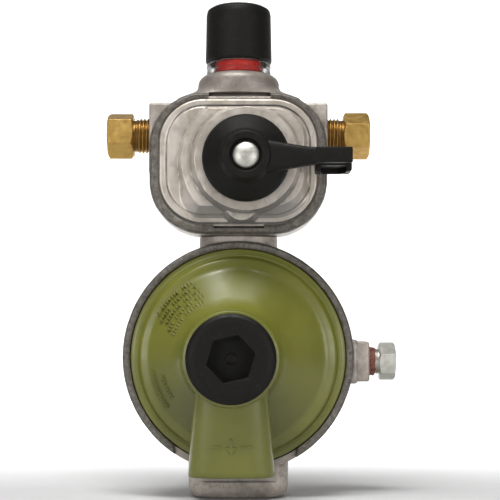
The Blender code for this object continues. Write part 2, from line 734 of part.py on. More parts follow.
def second_stage_body():
    centre = (0, STAGE2_Z)
    shell = [
        (0, BOWL_BACK),
        (27, BOWL_BACK),
        (33.5, 6.4),
        (BOWL_RADIUS - 1, 13),
        (BOWL_RADIUS, RING_BACK - 1.5),
        (RING_RADIUS, RING_BACK),
        (RING_RADIUS, RING_FRONT - 0.8),
        (RING_RADIUS - 0.8, RING_FRONT),
        (0, RING_FRONT),
    ]
    body = turned("second_stage_body", shell, "FRONT", centre, 48)
    neck_top = STAGE_JOINT - GAP
    neck_outline = superellipse(0, FLOW_DEPTH, NECK_HALF_WIDTH, NECK_HALF_DEPTH, 2.4, 24)
    neck = plate("neck", neck_outline, -52, neck_top, "PLAN")
    outlet_outline = superellipse(0, FLOW_DEPTH, OUTLET_HALF_WIDTH, OUTLET_HALF_DEPTH, 3, 24)
    outlet = plate("outlet_boss", outlet_outline, OUTLET_FACE, -96, "PLAN")
    port = box(
        "port_boss",
        (34, PORT_FACE),
        (FLOW_DEPTH - PORT_HALF_HEIGHT, FLOW_DEPTH + PORT_HALF_HEIGHT),
        (PORT_Z - PORT_HALF_HEIGHT, PORT_Z + PORT_HALF_HEIGHT),
    )
    join(body, neck, soften(outlet, 1.4, 1), soften(port, 0.9, 1))

    cavity = [
        (0, BOWL_FLOOR),
        (31, BOWL_FLOOR),
        (35, 13),
        (36, DIAPHRAGM_BACK - GAP),
        (BONNET_RADIUS + 0.45, DIAPHRAGM_BACK - GAP),
        (BONNET_RADIUS + 0.45, RING_FRONT - 0.9),
        (BONNET_RADIUS - 0.3, RING_FRONT - 0.9),
        (BONNET_RADIUS - 0.3, RING_FRONT + 2),
        (0, RING_FRONT + 2),
    ]
    cut(body, turned("bowl_cavity", cavity, "FRONT", centre, 48))
    # The rolled lip stops either side of the vent, which passes over it.
    half_gap = (RING_RADIUS + 2) * sin(0.56)
    gap = box("lip_gap", (-half_gap, half_gap), (RING_FRONT - 0.95, RING_FRONT + 3), (-122, -111))
    cut(body, gap)

    nozzle_boss = cylinder("nozzle_boss", 7.4, -52, -36, "UP", (0, FLOW_DEPTH), 14)
    ears = [
        box(f"ear_{side}", sorted((sign * 4.6, sign * 6.8)), (BOWL_FLOOR - 1, 14.6), (-59, -54))
        for side, _, sign in SIDES
    ]
    join(body, nozzle_boss, *ears)
    port_bore = PORT_THREAD_RADIUS + 0.35
    groove_top, groove_floor = neck_top + 1, neck_top - 1.5
    cut(
        body,
        cylinder("nipple_seat", 6.0, -44.9, neck_top + 1, "UP", (0, FLOW_DEPTH), 16),
        cylinder("plunger_guide", 3.8, -53, -44, "UP", (0, FLOW_DEPTH), 14),
        box("guide_window", (-3, 3), (FLOW_DEPTH, 26), (-51, -46.6)),
        cylinder("fulcrum_bore", 1.2, -9, 9, "RIGHT", FULCRUM, 10),
        turned(
            "gasket_groove",
            [(7.2, groove_top), (10.8, groove_top), (10.8, groove_floor), (7.2, groove_floor)],
            "UP",
            (0, FLOW_DEPTH),
            20,
        ),
        cylinder("outlet_bore", OUTLET_BORE, OUTLET_FACE - 1, -107.5, "UP", (0, FLOW_DEPTH), 24),
        cylinder("port_bore", port_bore, 42, PORT_FACE + 1, "RIGHT", (FLOW_DEPTH, PORT_Z), 16),
        cylinder("port_passage", 2.2, 33, 43, "RIGHT", (FLOW_DEPTH, PORT_Z), 10),
    )
    return body


def transfer_parts():
    at = (0, FLOW_DEPTH)
    nipple = [(2.6, -21.8), (5.65, -21.8), (5.65, -40.6), (2.6, -40.6)]
    turned("transfer_nipple", nipple, "UP", at, 14)
    orifice = [(1.0, -40.9), (5.6, -40.9), (5.6, -44.5), (3.0, -44.5), (1.9, -46.2), (1.0, -46.2)]
    turned("second_stage_orifice", orifice, "UP", at, 14)
    top = STAGE_JOINT - GAP
    gasket = [(7.5, top - 0.1), (10.5, top - 0.1), (10.5, top - 1.2), (7.5, top - 1.2)]
    turned("transfer_gasket", gasket, "UP", at, 18)


def gauge_plug():
    at = (FLOW_DEPTH, PORT_Z)
    r, start, end = PORT_THREAD_RADIUS, PORT_FACE + 4.5, PORT_FACE + 10.4
    corner = 12.8 / sqrt(3)
    ridges = []
    for k in range(3):
        low = PORT_FACE + 0.5 + k * 1.1
        ridges += [(r, low + 0.25), (r - 0.55, low + 0.75)]
    profile = [
        (0, 43.6),
        (r - 0.2, 43.6),
        (r - 0.1, PORT_FACE),
        *ridges,
        (r - 0.4, start),
        (corner - 1.2, start),
        (corner + 0.6, start + 0.9),
        (corner + 0.6, end - 0.6),
        (corner - 1.0, end),
        (0, end),
    ]
    plug = turned("gauge_port_plug", profile, "RIGHT", at, 16)
    flats = hexagon("plug_flats", PLUG_HEX, start - 0.3, end + 1, "RIGHT", at, PLUG_TURN)
    join(flats, cylinder("plug_shank", 6.3, 43, start + 0.05, "RIGHT", at, 12))
    return combine(plug, [flats], "INTERSECT")


# ---- second stage bonnet -----------------------------------------------------------------------

BONNET_POINTS = 40


def bonnet_ring(radius, depth):
    """A circle that moves from the ring's axis at the flange to the tower's axis inside the cone."""
    share = min(max((37.0 - radius) / 15.0, 0.0), 1.0)
    x, z = TOWER_X * share, STAGE2_Z + (TOWER_Z - STAGE2_Z) * share
    turns = (tau * i / BONNET_POINTS for i in range(BONNET_POINTS))
    return [(x + radius * cos(t), depth, z + radius * sin(t)) for t in turns]


def vent_ring(half_width, back, front, z, power=2.7, count=10):
    """A vent section: a flat back and a full, rounded front."""
    middle = (back + front) / 2 + 1
    ring = [(TOWER_X - half_width, back, z), (TOWER_X + half_width, back, z)]
    for i in range(count + 1):
        t = pi * i / count
        across = half_width * abs(cos(t)) ** (2 / power) * (1 if t < pi / 2 else -1)
        ring.append((TOWER_X + across, middle + (front - middle) * sin(t) ** (2 / power), z))
    return ring


def second_stage_bonnet():
    flange_back, flange_front = DIAPHRAGM_FRONT + GAP, RING_FRONT - 1.2
    outside = [
        bonnet_ring(BONNET_RADIUS, flange_back),
        bonnet_ring(BONNET_RADIUS, flange_front),
        bonnet_ring(38.4, flange_front),
        bonnet_ring(37.0, 31.2),
        bonnet_ring(33.0, 32.2),
        bonnet_ring(20.6, 42.6),
        bonnet_ring(18.2, 46.0),
        bonnet_ring(TOWER_RADIUS, TOWER_FRONT),
    ]
    bonnet = loft("second_stage_bonnet", outside)
    vent = loft(
        "vent_outside",
        [
            vent_ring(13.6, 34, 54.5, VENT_TOP),
            vent_ring(14.2, 33, 54.0, -92),
            vent_ring(15.5, 30.8, 53.0, -108),
            vent_ring(16.0, 30.8, 52.4, VENT_MOUTH),
        ],
    )
    join(bonnet, vent)
    inside = [
        bonnet_ring(36.2, flange_back - 1),
        bonnet_ring(31.5, 30.4),
        bonnet_ring(19.0, 40.4),
        bonnet_ring(14.6, 42.6),
        bonnet_ring(TOWER_BORE, 42.8),
        bonnet_ring(TOWER_BORE, TOWER_FRONT + 1),
    ]
    vent_hollow = loft(
        "vent_inside",
        [
            vent_ring(11.4, 34, 50.0, -92),
            vent_ring(13.2, 33.2, 50.0, -108),
            vent_ring(13.6, 33.2, 49.8, VENT_MOUTH - 1),
        ],
    )
    cut(bonnet, loft("bonnet_inside", inside), vent_hollow)
    return bonnet


def vent_parts():
    outline = [(x, depth) for x, depth, _ in vent_ring(13.0, 33.8, 49.4, 0)]
    holes = [
        circle(TOWER_X + a, 41.4 + b, 1.5, 6) for b in (-3, 2) for a in (-8, -4, 0, 4, 8)
    ]
    plate("vent_screen", outline, -108.9, -108.3, "PLAN", holes)
    inner = [(x, depth) for x, depth, _ in vent_ring(11.6, 35.2, 48.0, 0)]
    plate("vent_retaining_ring", outline, -110.2, -109.2, "PLAN", [inner])


def closing_cap():
    centre = (TOWER_X, TOWER_Z)
    front, back = CLOSING_CAP_FRONT, TOWER_FRONT + 0.9
    profile = [
        (0, front),
        (CLOSING_CAP_RADIUS - 1.0, front),
        (CLOSING_CAP_RADIUS, front - 1.0),
        (CLOSING_CAP_RADIUS, back),
        (CAP_PLUG_RADIUS, back),
        (CAP_PLUG_RADIUS, CAP_PLUG_BACK),
        (0, CAP_PLUG_BACK),
    ]
    cap = turned("closing_cap", profile, "FRONT", centre, 36)
    size, floor = CAP_SOCKET_HEX, CAP_SOCKET_FLOOR
    socket = hexagon("cap_socket", size, floor, front + 1, "FRONT", centre, CAP_SOCKET_TURN)
    join(socket, cylinder("cap_dimple", 2.2, floor - 0.9, floor + 0.5, "FRONT", centre, 12))
    cut(cap, socket)
    low, high = TOWER_FRONT + 0.25, back - 0.15
    seal = [(13.3, low), (16.0, low), (16.0, high), (13.3, high)]
    turned("closing_cap_gasket", seal, "FRONT", centre, 24)


# ---- second stage works ------------------------------------------------------------------------


def second_stage_works():
    centre = (TOWER_X, TOWER_Z)
    screw = turned(
        "adjusting_screw",
        [(3.8, 49.4), (13.0, 49.4), (13.0, 45.4), (3.8, 45.4)],
        "FRONT",
        centre,
        20,
    )
    cut(screw, hexagon("screw_socket", 9.5, 45, 50, "FRONT", centre))
    cup = [(5.0, 45.0), (12.0, 45.0), (12.0, 43.2), (11.4, 43.2), (11.4, 44.2), (5.0, 44.2)]
    turned("spring_cup", cup, "FRONT", centre, 18)
    coil("main_spring", 9.6, 1.5, 28.9, 43.9, 4, "FRONT", centre)

    membrane = [
        (2.1, DIAPHRAGM_BACK),
        (24.2, DIAPHRAGM_BACK),
        (26.6, DIAPHRAGM_BACK - 2.4),
        (29.8, DIAPHRAGM_BACK - 2.4),
        (32.4, DIAPHRAGM_BACK),
        (38.6, DIAPHRAGM_BACK),
        (38.6, DIAPHRAGM_FRONT),
        (32.0, DIAPHRAGM_FRONT),
        (29.4, DIAPHRAGM_FRONT - 2.4),
        (27.0, DIAPHRAGM_FRONT - 2.4),
        (24.6, DIAPHRAGM_FRONT),
        (2.1, DIAPHRAGM_FRONT),
    ]
    turned("second_stage_diaphragm", membrane, "FRONT", centre, 24)
    pusher = [(2.1, 27.5), (23.0, 27.5), (24.0, 29.4), (23.2, 29.4), (22.4, 28.5), (2.1, 28.5)]
    turned("second_stage_plate", pusher, "FRONT", centre, 24)
    stem = [
        (0, 40.4),
        (1.5, 40.4),
        (1.5, 25.9),
        (5.5, 25.9),
        (5.5, 25.0),
        (1.5, 25.0),
        (1.5, 14.2),
        (STEM_FOOT_RADIUS, 14.2),
        (STEM_FOOT_RADIUS, 13.0),
        (0, 13.0),
    ]
    turned("relief_stem", stem, "FRONT", centre, 10)
    coil("relief_spring", 3.6, 0.8, 28.8, 37.6, 3, "FRONT", centre)
    nut = hexagon("relief_nut", 7.4, 37.9, 40.2, "FRONT", centre)
    cut(nut, cylinder("nut_hole", 1.8, 37, 41, "FRONT", centre, 12))

    path = [LEVER_2_TIP, LEVER_2_KNEE, FULCRUM, LEVER_2_FOOT]
    lever = plate("second_stage_lever", stroke(path, 0.7), -4.4, 3.6, "SIDE")
    put_origin(lever, 0, *FULCRUM)
    join(lever, cylinder("lever_hub", 2.2, -3.9, 3.9, "RIGHT", FULCRUM, 14))
    slot = box("fork_slot", (TOWER_X - 1.9, TOWER_X + 1.9), (12, 20), (-84, TOWER_Z + 2.4))
    cut(lever, slot, cylinder("lever_bore", 1.25, -5, 5, "RIGHT", FULCRUM, 10))
    cylinder("fulcrum_pin", 0.9, -7.4, 7.4, "RIGHT", FULCRUM, 10)

    at = (0, FLOW_DEPTH)
    plunger = [(0, -54.0), (3.3, -54.0), (3.3, -47.9), (2.6, -47.9), (2.6, -48.5), (0, -48.5)]
    turned("valve_plunger", plunger, "UP", at, 12)
    cylinder("valve_seat_disc", 2.2, -48.2, -47.2, "UP", at, 12)


# ---- assembly ----------------------------------------------------------------------------------

first_stage_body()
first_stage_cover()
changeover_lever()
spindle_and_cam()
first_stage_works()
inlet_fitting("left", "LEFT")
inlet_fitting("right", "RIGHT")
sight_glass()
second_stage_body()
transfer_parts()
gauge_plug()
second_stage_bonnet()
vent_parts()
closing_cap()
second_stage_works()
bpy.context.view_layer.update()

CASTINGS = ["first_stage_body", "second_stage_body"]
BRASS = [
    "inlet_fitting_left",
    "inlet_fitting_right",
    "transfer_nipple",
    "second_stage_orifice",
    "changeover_cam",
]
BRONZE = ["inlet_filter_left", "inlet_filter_right"]
BLACK = ["changeover_lever", "indicator_cap", "closing_cap"]
RUBBER = [
    "spindle_seal",
    "transfer_gasket",
    "closing_cap_gasket",
    "valve_seat_disc",
    "first_stage_diaphragm",
    "second_stage_diaphragm",
]
PLATED = [
    "knob_spindle",
    "gauge_port_plug",
    "first_stage_plate",
    "second_stage_plate",
    "second_stage_lever",
    "rocker_left",
    "rocker_right",
    "spring_cup",
    "first_stage_spring_seat",
    "relief_stem",
    "relief_nut",
    "vent_retaining_ring",
]
STEEL = [
    "vent_screen",
    "fulcrum_pin",
    "rocker_pin_left",
    "rocker_pin_right",
    "main_spring",
    "relief_spring",
    "first_stage_spring",
    "poppet_spring_left",
    "poppet_spring_right",
    "indicator_spring",
]
MOULDED = [
    "adjusting_screw",
    "valve_plunger",
    "inlet_poppet_left",
    "inlet_poppet_right",
    "indicator_piston",
]

paint(CASTINGS, (0.34, 0.32, 0.30), 0.5, 0.9)
paint(["first_stage_cover"], (0.62, 0.59, 0.55), 0.42, 0.9)
paint(["second_stage_bonnet"], (0.17, 0.17, 0.045), 0.3)
paint(BRASS, (0.62, 0.42, 0.13), 0.3, 1.0)
paint(BRONZE, (0.45, 0.28, 0.12), 0.7, 0.8)
paint(BLACK, (0.012, 0.012, 0.01), 0.45)
paint(RUBBER, (0.02, 0.02, 0.02), 0.8)
paint(PLATED, (0.62, 0.61, 0.58), 0.3, 1.0)
paint(STEEL, (0.4, 0.4, 0.4), 0.35, 1.0)
paint(MOULDED, (0.6, 0.58, 0.52), 0.5)
paint(["indicator_lens"], (0.9, 0.9, 0.9), 0.05, 0.0, 0.35)
paint(["indicator_red_band"], (0.62, 0.03, 0.025), 0.4)
paint(["indicator_green_band"], (0.05, 0.35, 0.08), 0.4)
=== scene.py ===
"""Looks of a two-stage changeover regulator for LP gas, made on the frame of its CAD model.

Sizes are in millimetres, written as (x, depth, z). Depth is the distance forward of the rear
mounting pad, so depth 33 is y = -33. Places come from the CAD nodes' boxes and joint axes.
"""

import json
from math import copysign, cos, exp, floor, hypot, pi, radians, sin, sqrt, tan, tau

import bmesh
import bpy
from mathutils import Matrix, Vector, noise


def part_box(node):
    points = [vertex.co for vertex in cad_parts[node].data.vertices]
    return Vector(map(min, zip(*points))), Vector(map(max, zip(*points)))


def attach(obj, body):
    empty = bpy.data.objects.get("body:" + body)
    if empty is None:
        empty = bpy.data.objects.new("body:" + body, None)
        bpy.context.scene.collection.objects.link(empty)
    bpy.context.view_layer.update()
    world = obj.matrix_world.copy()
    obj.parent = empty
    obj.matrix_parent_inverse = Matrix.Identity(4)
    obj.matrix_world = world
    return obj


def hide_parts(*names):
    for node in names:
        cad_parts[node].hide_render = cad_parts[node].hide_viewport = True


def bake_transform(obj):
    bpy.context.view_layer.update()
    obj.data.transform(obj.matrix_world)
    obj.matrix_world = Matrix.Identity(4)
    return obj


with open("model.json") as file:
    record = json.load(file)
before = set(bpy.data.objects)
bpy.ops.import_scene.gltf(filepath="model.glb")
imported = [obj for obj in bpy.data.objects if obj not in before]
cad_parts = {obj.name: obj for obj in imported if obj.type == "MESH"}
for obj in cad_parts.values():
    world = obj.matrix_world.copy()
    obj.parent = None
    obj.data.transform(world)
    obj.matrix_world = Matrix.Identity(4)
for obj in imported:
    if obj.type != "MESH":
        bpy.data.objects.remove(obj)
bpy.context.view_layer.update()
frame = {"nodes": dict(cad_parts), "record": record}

MM = 0.001

# ---- places taken from the frame ---------------------------------------------------------------

JOINTS = {joint["name"]: joint for joint in frame["record"]["behaviour"]["joints"]}


def axis_of(joint):
    """Where a hinge's axis stands, as (x, depth, z)."""
    x, y, z = JOINTS[joint]["pos_m"]
    return x / MM, -y / MM, z / MM


def extent(node):
    """A node's box at rest as ((x, x), (depth, depth), (z, z)), each with the lower value first."""
    (x0, y0, z0), (x1, y1, z1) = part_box(node)
    return (x0 / MM, x1 / MM), (-y1 / MM, -y0 / MM), (z0 / MM, z1 / MM)


FLOW_DEPTH = 16.0  # depth of the inlet, sight glass, transfer and outlet axes

BODY_X, BODY_DEPTH, BODY_Z = extent("first_stage_body")
RIM_FRONT = BODY_DEPTH[1]
BLOCK_HALF_WIDTH = BODY_X[1]
STAGE_JOINT, COLLAR_TOP = BODY_Z
RIM_WIDTH, RIM_TOP, RIM_BOTTOM, RIM_CORNER, RIM_BACK = 68.2, 26.6, -28.0, 20.6, 9.0
LIP_FLOOR, LIP_EDGE, LEDGE, CHAMBER_FLOOR = 32.0, -0.6, 29.0, 24.0
BLOCK_DEPTH, BLOCK_Z = (4.0, 27.5), (-4.0, 23.5)

COVER_X, COVER_DEPTH, COVER_Z = extent("first_stage_cover")
COVER_WIDTH, COVER_HEIGHT = COVER_X[1] - COVER_X[0], COVER_Z[1] - COVER_Z[0]
COVER_CORNER = 17.9
COVER_BOSS_FRONT = COVER_DEPTH[1]
COVER_BOSS_FOOT, BAND_FRONT, GROOVE_INSET = 21.0, 33.1, 3.75
PLATEAU_INSET, PLATEAU_REACH = 6.3, 24.6
BULGE_X, BULGE_Z, BULGE_RADIUS = 1.3, -17.1, 7.7
KNOB_X, _, KNOB_Z = axis_of("changeover_turn")
LEVER_X, LEVER_DEPTH, _ = extent("changeover_lever")

INLET_Z = 12.0
FITTING_X, _, _ = extent("inlet_fitting_right")
FITTING_HEX, FITTING_HEX_START, PIPE_THREAD_RADIUS = 15.88, 41.3, 6.9
FITTING_TURN, PIPE_PITCH = radians(-6.9), 1.41

LENS_X, _, LENS_Z = extent("indicator_lens")
CAP_X, _, CAP_Z = extent("indicator_cap")

LOWER_X, LOWER_DEPTH, LOWER_Z = extent("second_stage_body")
STAGE2_Z = -74.5
RING_RADIUS, RING_FRONT, RING_BACK = -LOWER_X[0], LOWER_DEPTH[1], 23.5
BOWL_RADIUS, BOWL_BACK, BOWL_FLOOR = 39.4, 4.0, 9.0
NECK_HALF_WIDTH, NECK_HALF_DEPTH, NECK_TOP = 15.3, 13.2, STAGE_JOINT - 0.3
OUTLET_FACE, OUTLET_BORE = LOWER_Z[0], 8.0
OUTLET_HALF_WIDTH, OUTLET_HALF_DEPTH = 19.2, 13.2
PORT_FACE, PORT_Z, PORT_HALF_HEIGHT, PORT_THREAD_RADIUS = LOWER_X[1], -76.6, 7.7, 5.2

_, BONNET_DEPTH, BONNET_Z = extent("second_stage_bonnet")
BONNET_RADIUS, LIP_RADIUS, LIP_START = 41.0, 41.3, 28.6
TOWER_X, _, TOWER_Z = axis_of("closing_cap_turn")
TOWER_RADIUS, TOWER_BORE, TOWER_FRONT = 17.5, 13.4, BONNET_DEPTH[1]
VENT_MOUTH, VENT_TOP = BONNET_Z[0], -84.0
CLOSING_X, CLOSING_DEPTH, _ = extent("closing_cap")
PLUG_X, _, _ = extent("gauge_port_plug")

# Each axis as the direction that it points and where it stands, the way spot() takes them.
FLOW_AXIS = ("UP", (0, FLOW_DEPTH))
KNOB_AXIS = ("FRONT", (KNOB_X, KNOB_Z))
BOWL_AXIS = ("FRONT", (0, STAGE2_Z))
TOWER_AXIS = ("FRONT", (TOWER_X, TOWER_Z))
PORT_AXIS = ("RIGHT", (FLOW_DEPTH, PORT_Z))


# ---- shapes ------------------------------------------------------------------------------------


def placed(name, data):
    """A new object in the scene."""
    obj = bpy.data.objects.new(name, data)
    bpy.context.scene.collection.objects.link(obj)
    return obj


def solid(name, points, faces):
    """A mesh piece from (x, depth, z) points in millimetres, with its faces pointing out."""
    mesh = bpy.data.meshes.new(name)
    mesh.from_pydata([(x * MM, -depth * MM, z * MM) for x, depth, z in points], [], faces)
    bm = bmesh.new()
    bm.from_mesh(mesh)
    bmesh.ops.recalc_face_normals(bm, faces=bm.faces)
    bm.to_mesh(mesh)
    bm.free()
    return placed(name, mesh)


def spot(direction, at, a, b, height):
    """A point beside an axis. FRONT axes stand at (x, z), UP at (x, depth), sideways at (depth, z)."""
    if direction == "FRONT":
        return at[0] + a, height, at[1] + b
    if direction == "UP":
        return at[0] + a, at[1] + b, height
    side = 1 if direction == "RIGHT" else -1
    return side * height, at[0] + a, at[1] + b


def filleted(profile, steps=4):
    """The profile with every (radius, height, fillet) corner rounded."""
    points = []
    for i, corner in enumerate(profile):
        here = Vector(corner[:2])
        if len(corner) < 3:
            points.append(tuple(here))
            continue
        before = Vector(profile[i - 1][:2]) - here
        after = Vector(profile[(i + 1) % len(profile)][:2]) - here
        reach = corner[2] / tan(before.angle(after) / 2)
        reach = min(reach, before.length * 0.49, after.length * 0.49)
        start, end = here + before.normalized() * reach, here + after.normalized() * reach
        for k in range(steps + 1):
            t = k / steps
            points.append(tuple(start * (1 - t) ** 2 + here * 2 * t * (1 - t) + end * t**2))
    return points


def lathe(name, profile, direction, at, steps=96, turn=0.0, shape=None):
    """A turned piece from (radius, height) points, or (radius, height, fillet) where a corner is round.

    shape(radius, height, angle) may bend each point of its surface.
    """
    points, faces, rings = [], [], []
    if any(len(corner) > 2 for corner in profile):
        profile = filleted(profile)
    for radius, height in profile:
        start = len(points)
        if radius == 0:
            points.append(spot(direction, at, 0, 0, height))
            rings.append([start] * steps)
            continue
        for i in range(steps):
            angle = turn + tau * i / steps
            r, h = shape(radius, height, angle) if shape else (radius, height)
            points.append(spot(direction, at, r * cos(angle), r * sin(angle), h))
        rings.append(list(range(start, start + steps)))
    pairs = list(zip(rings, rings[1:]))
    if profile[0][0] and profile[-1][0]:
        pairs.append((rings[-1], rings[0]))
    for low, high in pairs:
        for i in range(steps):
            j = (i + 1) % steps
            faces.append(tuple(dict.fromkeys((low[i], low[j], high[j], high[i]))))
    return solid(name, points, faces)


def loft(name, rings, closed=False):
    """A skin through rings of equal count: capped at both ends, or closed into a frame."""
    count = len(rings[0])
    points = [point for ring in rings for point in ring]
    faces = []
    last = len(points) - count
    if not closed:
        faces = [tuple(range(count)), tuple(range(last, last + count))]
    for start in range(0, len(points) if closed else last, count):
        above = (start + count) % len(points)
        for i in range(count):
            j = (i + 1) % count
            faces.append((start + i, start + j, above + j, above + i))
    return solid(name, points, faces)


def prism(name, outline, low, high, direction):
    """An outline given thickness. FRONT outlines are (x, z), PLAN (x, depth), SIDE (depth, z)."""

    def ring(height):
        if direction == "FRONT":
            return [(a, height, b) for a, b in outline]
        if direction == "PLAN":
            return [(a, b, height) for a, b in outline]
        return [(height, a, b) for a, b in outline]

    return loft(name, [ring(low), ring(high)])


def cylinder(name, radius, low, high, direction, at, steps=48):
    """A round bar between two heights along an axis."""
    return lathe(name, [(0, low), (radius, low), (radius, high), (0, high)], direction, at, steps)


def block(name, x, depth, z, radius=0.0, segments=3):
    """A box from its spans, with its edges rounded."""
    points = [(a, b, c) for a in x for b in depth for c in z]
    faces = [(0, 1, 3, 2), (4, 6, 7, 5), (0, 4, 5, 1), (2, 3, 7, 6), (0, 2, 6, 4), (1, 5, 7, 3)]
    obj = solid(name, points, faces)
    return rounded(obj, radius, segments) if radius else obj


def rounded(obj, radius, segments=3):
    """The piece with its sharp edges rounded."""
    bevel = obj.modifiers.new("round", "BEVEL")
    bevel.width = radius * MM
    bevel.segments = segments
    bevel.limit_method = "ANGLE"
    bevel.angle_limit = 0.5
    bevel.use_clamp_overlap = True
    return applied(obj)


def applied(obj):
    """The piece with its modifiers made part of its mesh."""
    graph = bpy.context.evaluated_depsgraph_get()
    mesh = bpy.data.meshes.new_from_object(obj.evaluated_get(graph))
    old = obj.data
    obj.modifiers.clear()
    obj.data = mesh
    bpy.data.meshes.remove(old)
    return obj


def combine(target, tools, operation):
    """Joins the tools to the target or cuts them out of it, and removes them."""
    for tool in tools:
        modifier = target.modifiers.new(tool.name, "BOOLEAN")
        modifier.object = tool
        modifier.operation = operation
        modifier.solver = "MANIFOLD"
    applied(target)
    for tool in tools:
        bpy.data.objects.remove(tool)
    return target


def join(target, *tools):
    """The target with the tools joined to it."""
    return combine(target, tools, "UNION")


def cut(target, *tools):
    """The target with the tools cut out of it."""
    return combine(target, tools, "DIFFERENCE")


def gathered(name, pieces):
    """Several meshes as one piece, each keeping its own faces."""
    bm = bmesh.new()
    for piece in pieces:
        bm.from_mesh(piece.data)
        bpy.data.objects.remove(piece)
    mesh = bpy.data.meshes.new(name)
    bm.to_mesh(mesh)
    bm.free()
    return placed(name, mesh)


def rounded_rectangle(width, height, corner, z=0.0, per_corner=22, per_side=14):
    """Points round a rectangle with round corners, even enough to carry a rough surface."""
    arcs, points = [], []
    for k, (sa, sb) in enumerate(((1, 1), (-1, 1), (-1, -1), (1, -1))):
        a, b = sa * (width / 2 - corner), z + sb * (height / 2 - corner)
        turns = [pi / 2 * (k + i / (per_corner - 1)) for i in range(per_corner)]
        arcs.append([(a + corner * cos(t), b + corner * sin(t)) for t in turns])
    for k, arc in enumerate(arcs):
        (a0, b0), (a1, b1) = arc[-1], arcs[(k + 1) % 4][0]
        shares = [i / per_side for i in range(1, per_side)]
        points += arc + [(a0 + (a1 - a0) * t, b0 + (b1 - b0) * t) for t in shares]
    return points


def squared(share, power):
    """A sine or cosine pushed out towards a box's side as the power grows past 2."""
    return copysign(abs(share) ** (2 / power), share)


def superellipse(a, b, half_a, half_b, power, count=96):
    """Points round (a, b), on an ellipse that squares up as its power grows past 2."""
    turns = [tau * i / count for i in range(count)]
    return [
        (a + half_a * squared(cos(t), power), b + half_b * squared(sin(t), power)) for t in turns
    ]


def boxed_radius(angle, width, height, corner, x, z):
    """Distance from (x, z) to a rounded rectangle centred on the origin, along an angle."""
    near, far = 0.0, width
    for _ in range(30):
        reach = (near + far) / 2
        a = abs(x + reach * cos(angle)) - (width / 2 - corner)
        b = abs(z + reach * sin(angle)) - (height / 2 - corner)
        outside = hypot(max(a, 0), max(b, 0)) + min(max(a, b), 0) > corner
        near, far = (near, reach) if outside else (reach, far)
    return near


def ramp(value, start, end):
    """0 before start and 1 past end, with a straight slope between."""
    return min(max((value - start) / (end - start), 0.0), 1.0)


def ease(value, start, end):
    """0 before start and 1 past end, with a smooth slope between."""
    t = ramp(value, start, end)
    return t * t * (3 - 2 * t)


def lumps(x, y, z, size, seed=0.0):
    """Smooth noise from -1 to 1 whose lumps are about size millimetres across."""
    return noise.noise(Vector((x, y, z + seed)) / size)


def roughen(obj, size, amount, seed, where):
    """Moves the surface in and out by smooth noise, where the place asks for it."""
    normals = [vertex.normal.copy() for vertex in obj.data.vertices]
    for vertex, normal in zip(obj.data.vertices, normals):
        x, depth, z = vertex.co.x / MM, -vertex.co.y / MM, vertex.co.z / MM
        if where(x, depth, z):
            vertex.co += normal * (amount * lumps(x, depth, z, size, seed) * MM)


def wave(x):
    """A rounded thread form, 0 in the root and 1 on the crest, once for each whole number."""
    return ease(1 - abs(2 * (x - floor(x)) - 1), 0, 1)


def threaded(root, depth, pitch, start, end, run_out=0.8, hand=1):
    """A shape function for a helical thread between two heights."""

    def shape(radius, height, angle):
        if not start <= height <= end:
            return radius, height
        fade = min((height - start) / run_out, (end - height) / run_out, 1)
        return root + depth * fade * wave(height / pitch - hand * angle / tau), height

    return shape


def stations(radius, low, high, step):
    """Evenly spaced (radius, height) points from low to high."""
    count = max(int(abs(high - low) / step), 1)
    return [(radius, low + (high - low) * i / count) for i in range(count + 1)]


def hex_radius(across_flats, angle, turn):
    """Distance from a hexagon's centre to its side, with a corner at the turn angle."""
    within = (angle - turn) % (pi / 3) - pi / 6
    return across_flats / 2 / cos(within)


# ---- materials ---------------------------------------------------------------------------------


def srgb(red, green, blue):
    """A screen colour from 0 to 255 as the linear colour that shaders take."""
    shares = (value / 255 for value in (red, green, blue))
    linear = [s / 12.92 if s <= 0.04045 else ((s + 0.055) / 1.055) ** 2.4 for s in shares]
    return (*linear, 1.0)


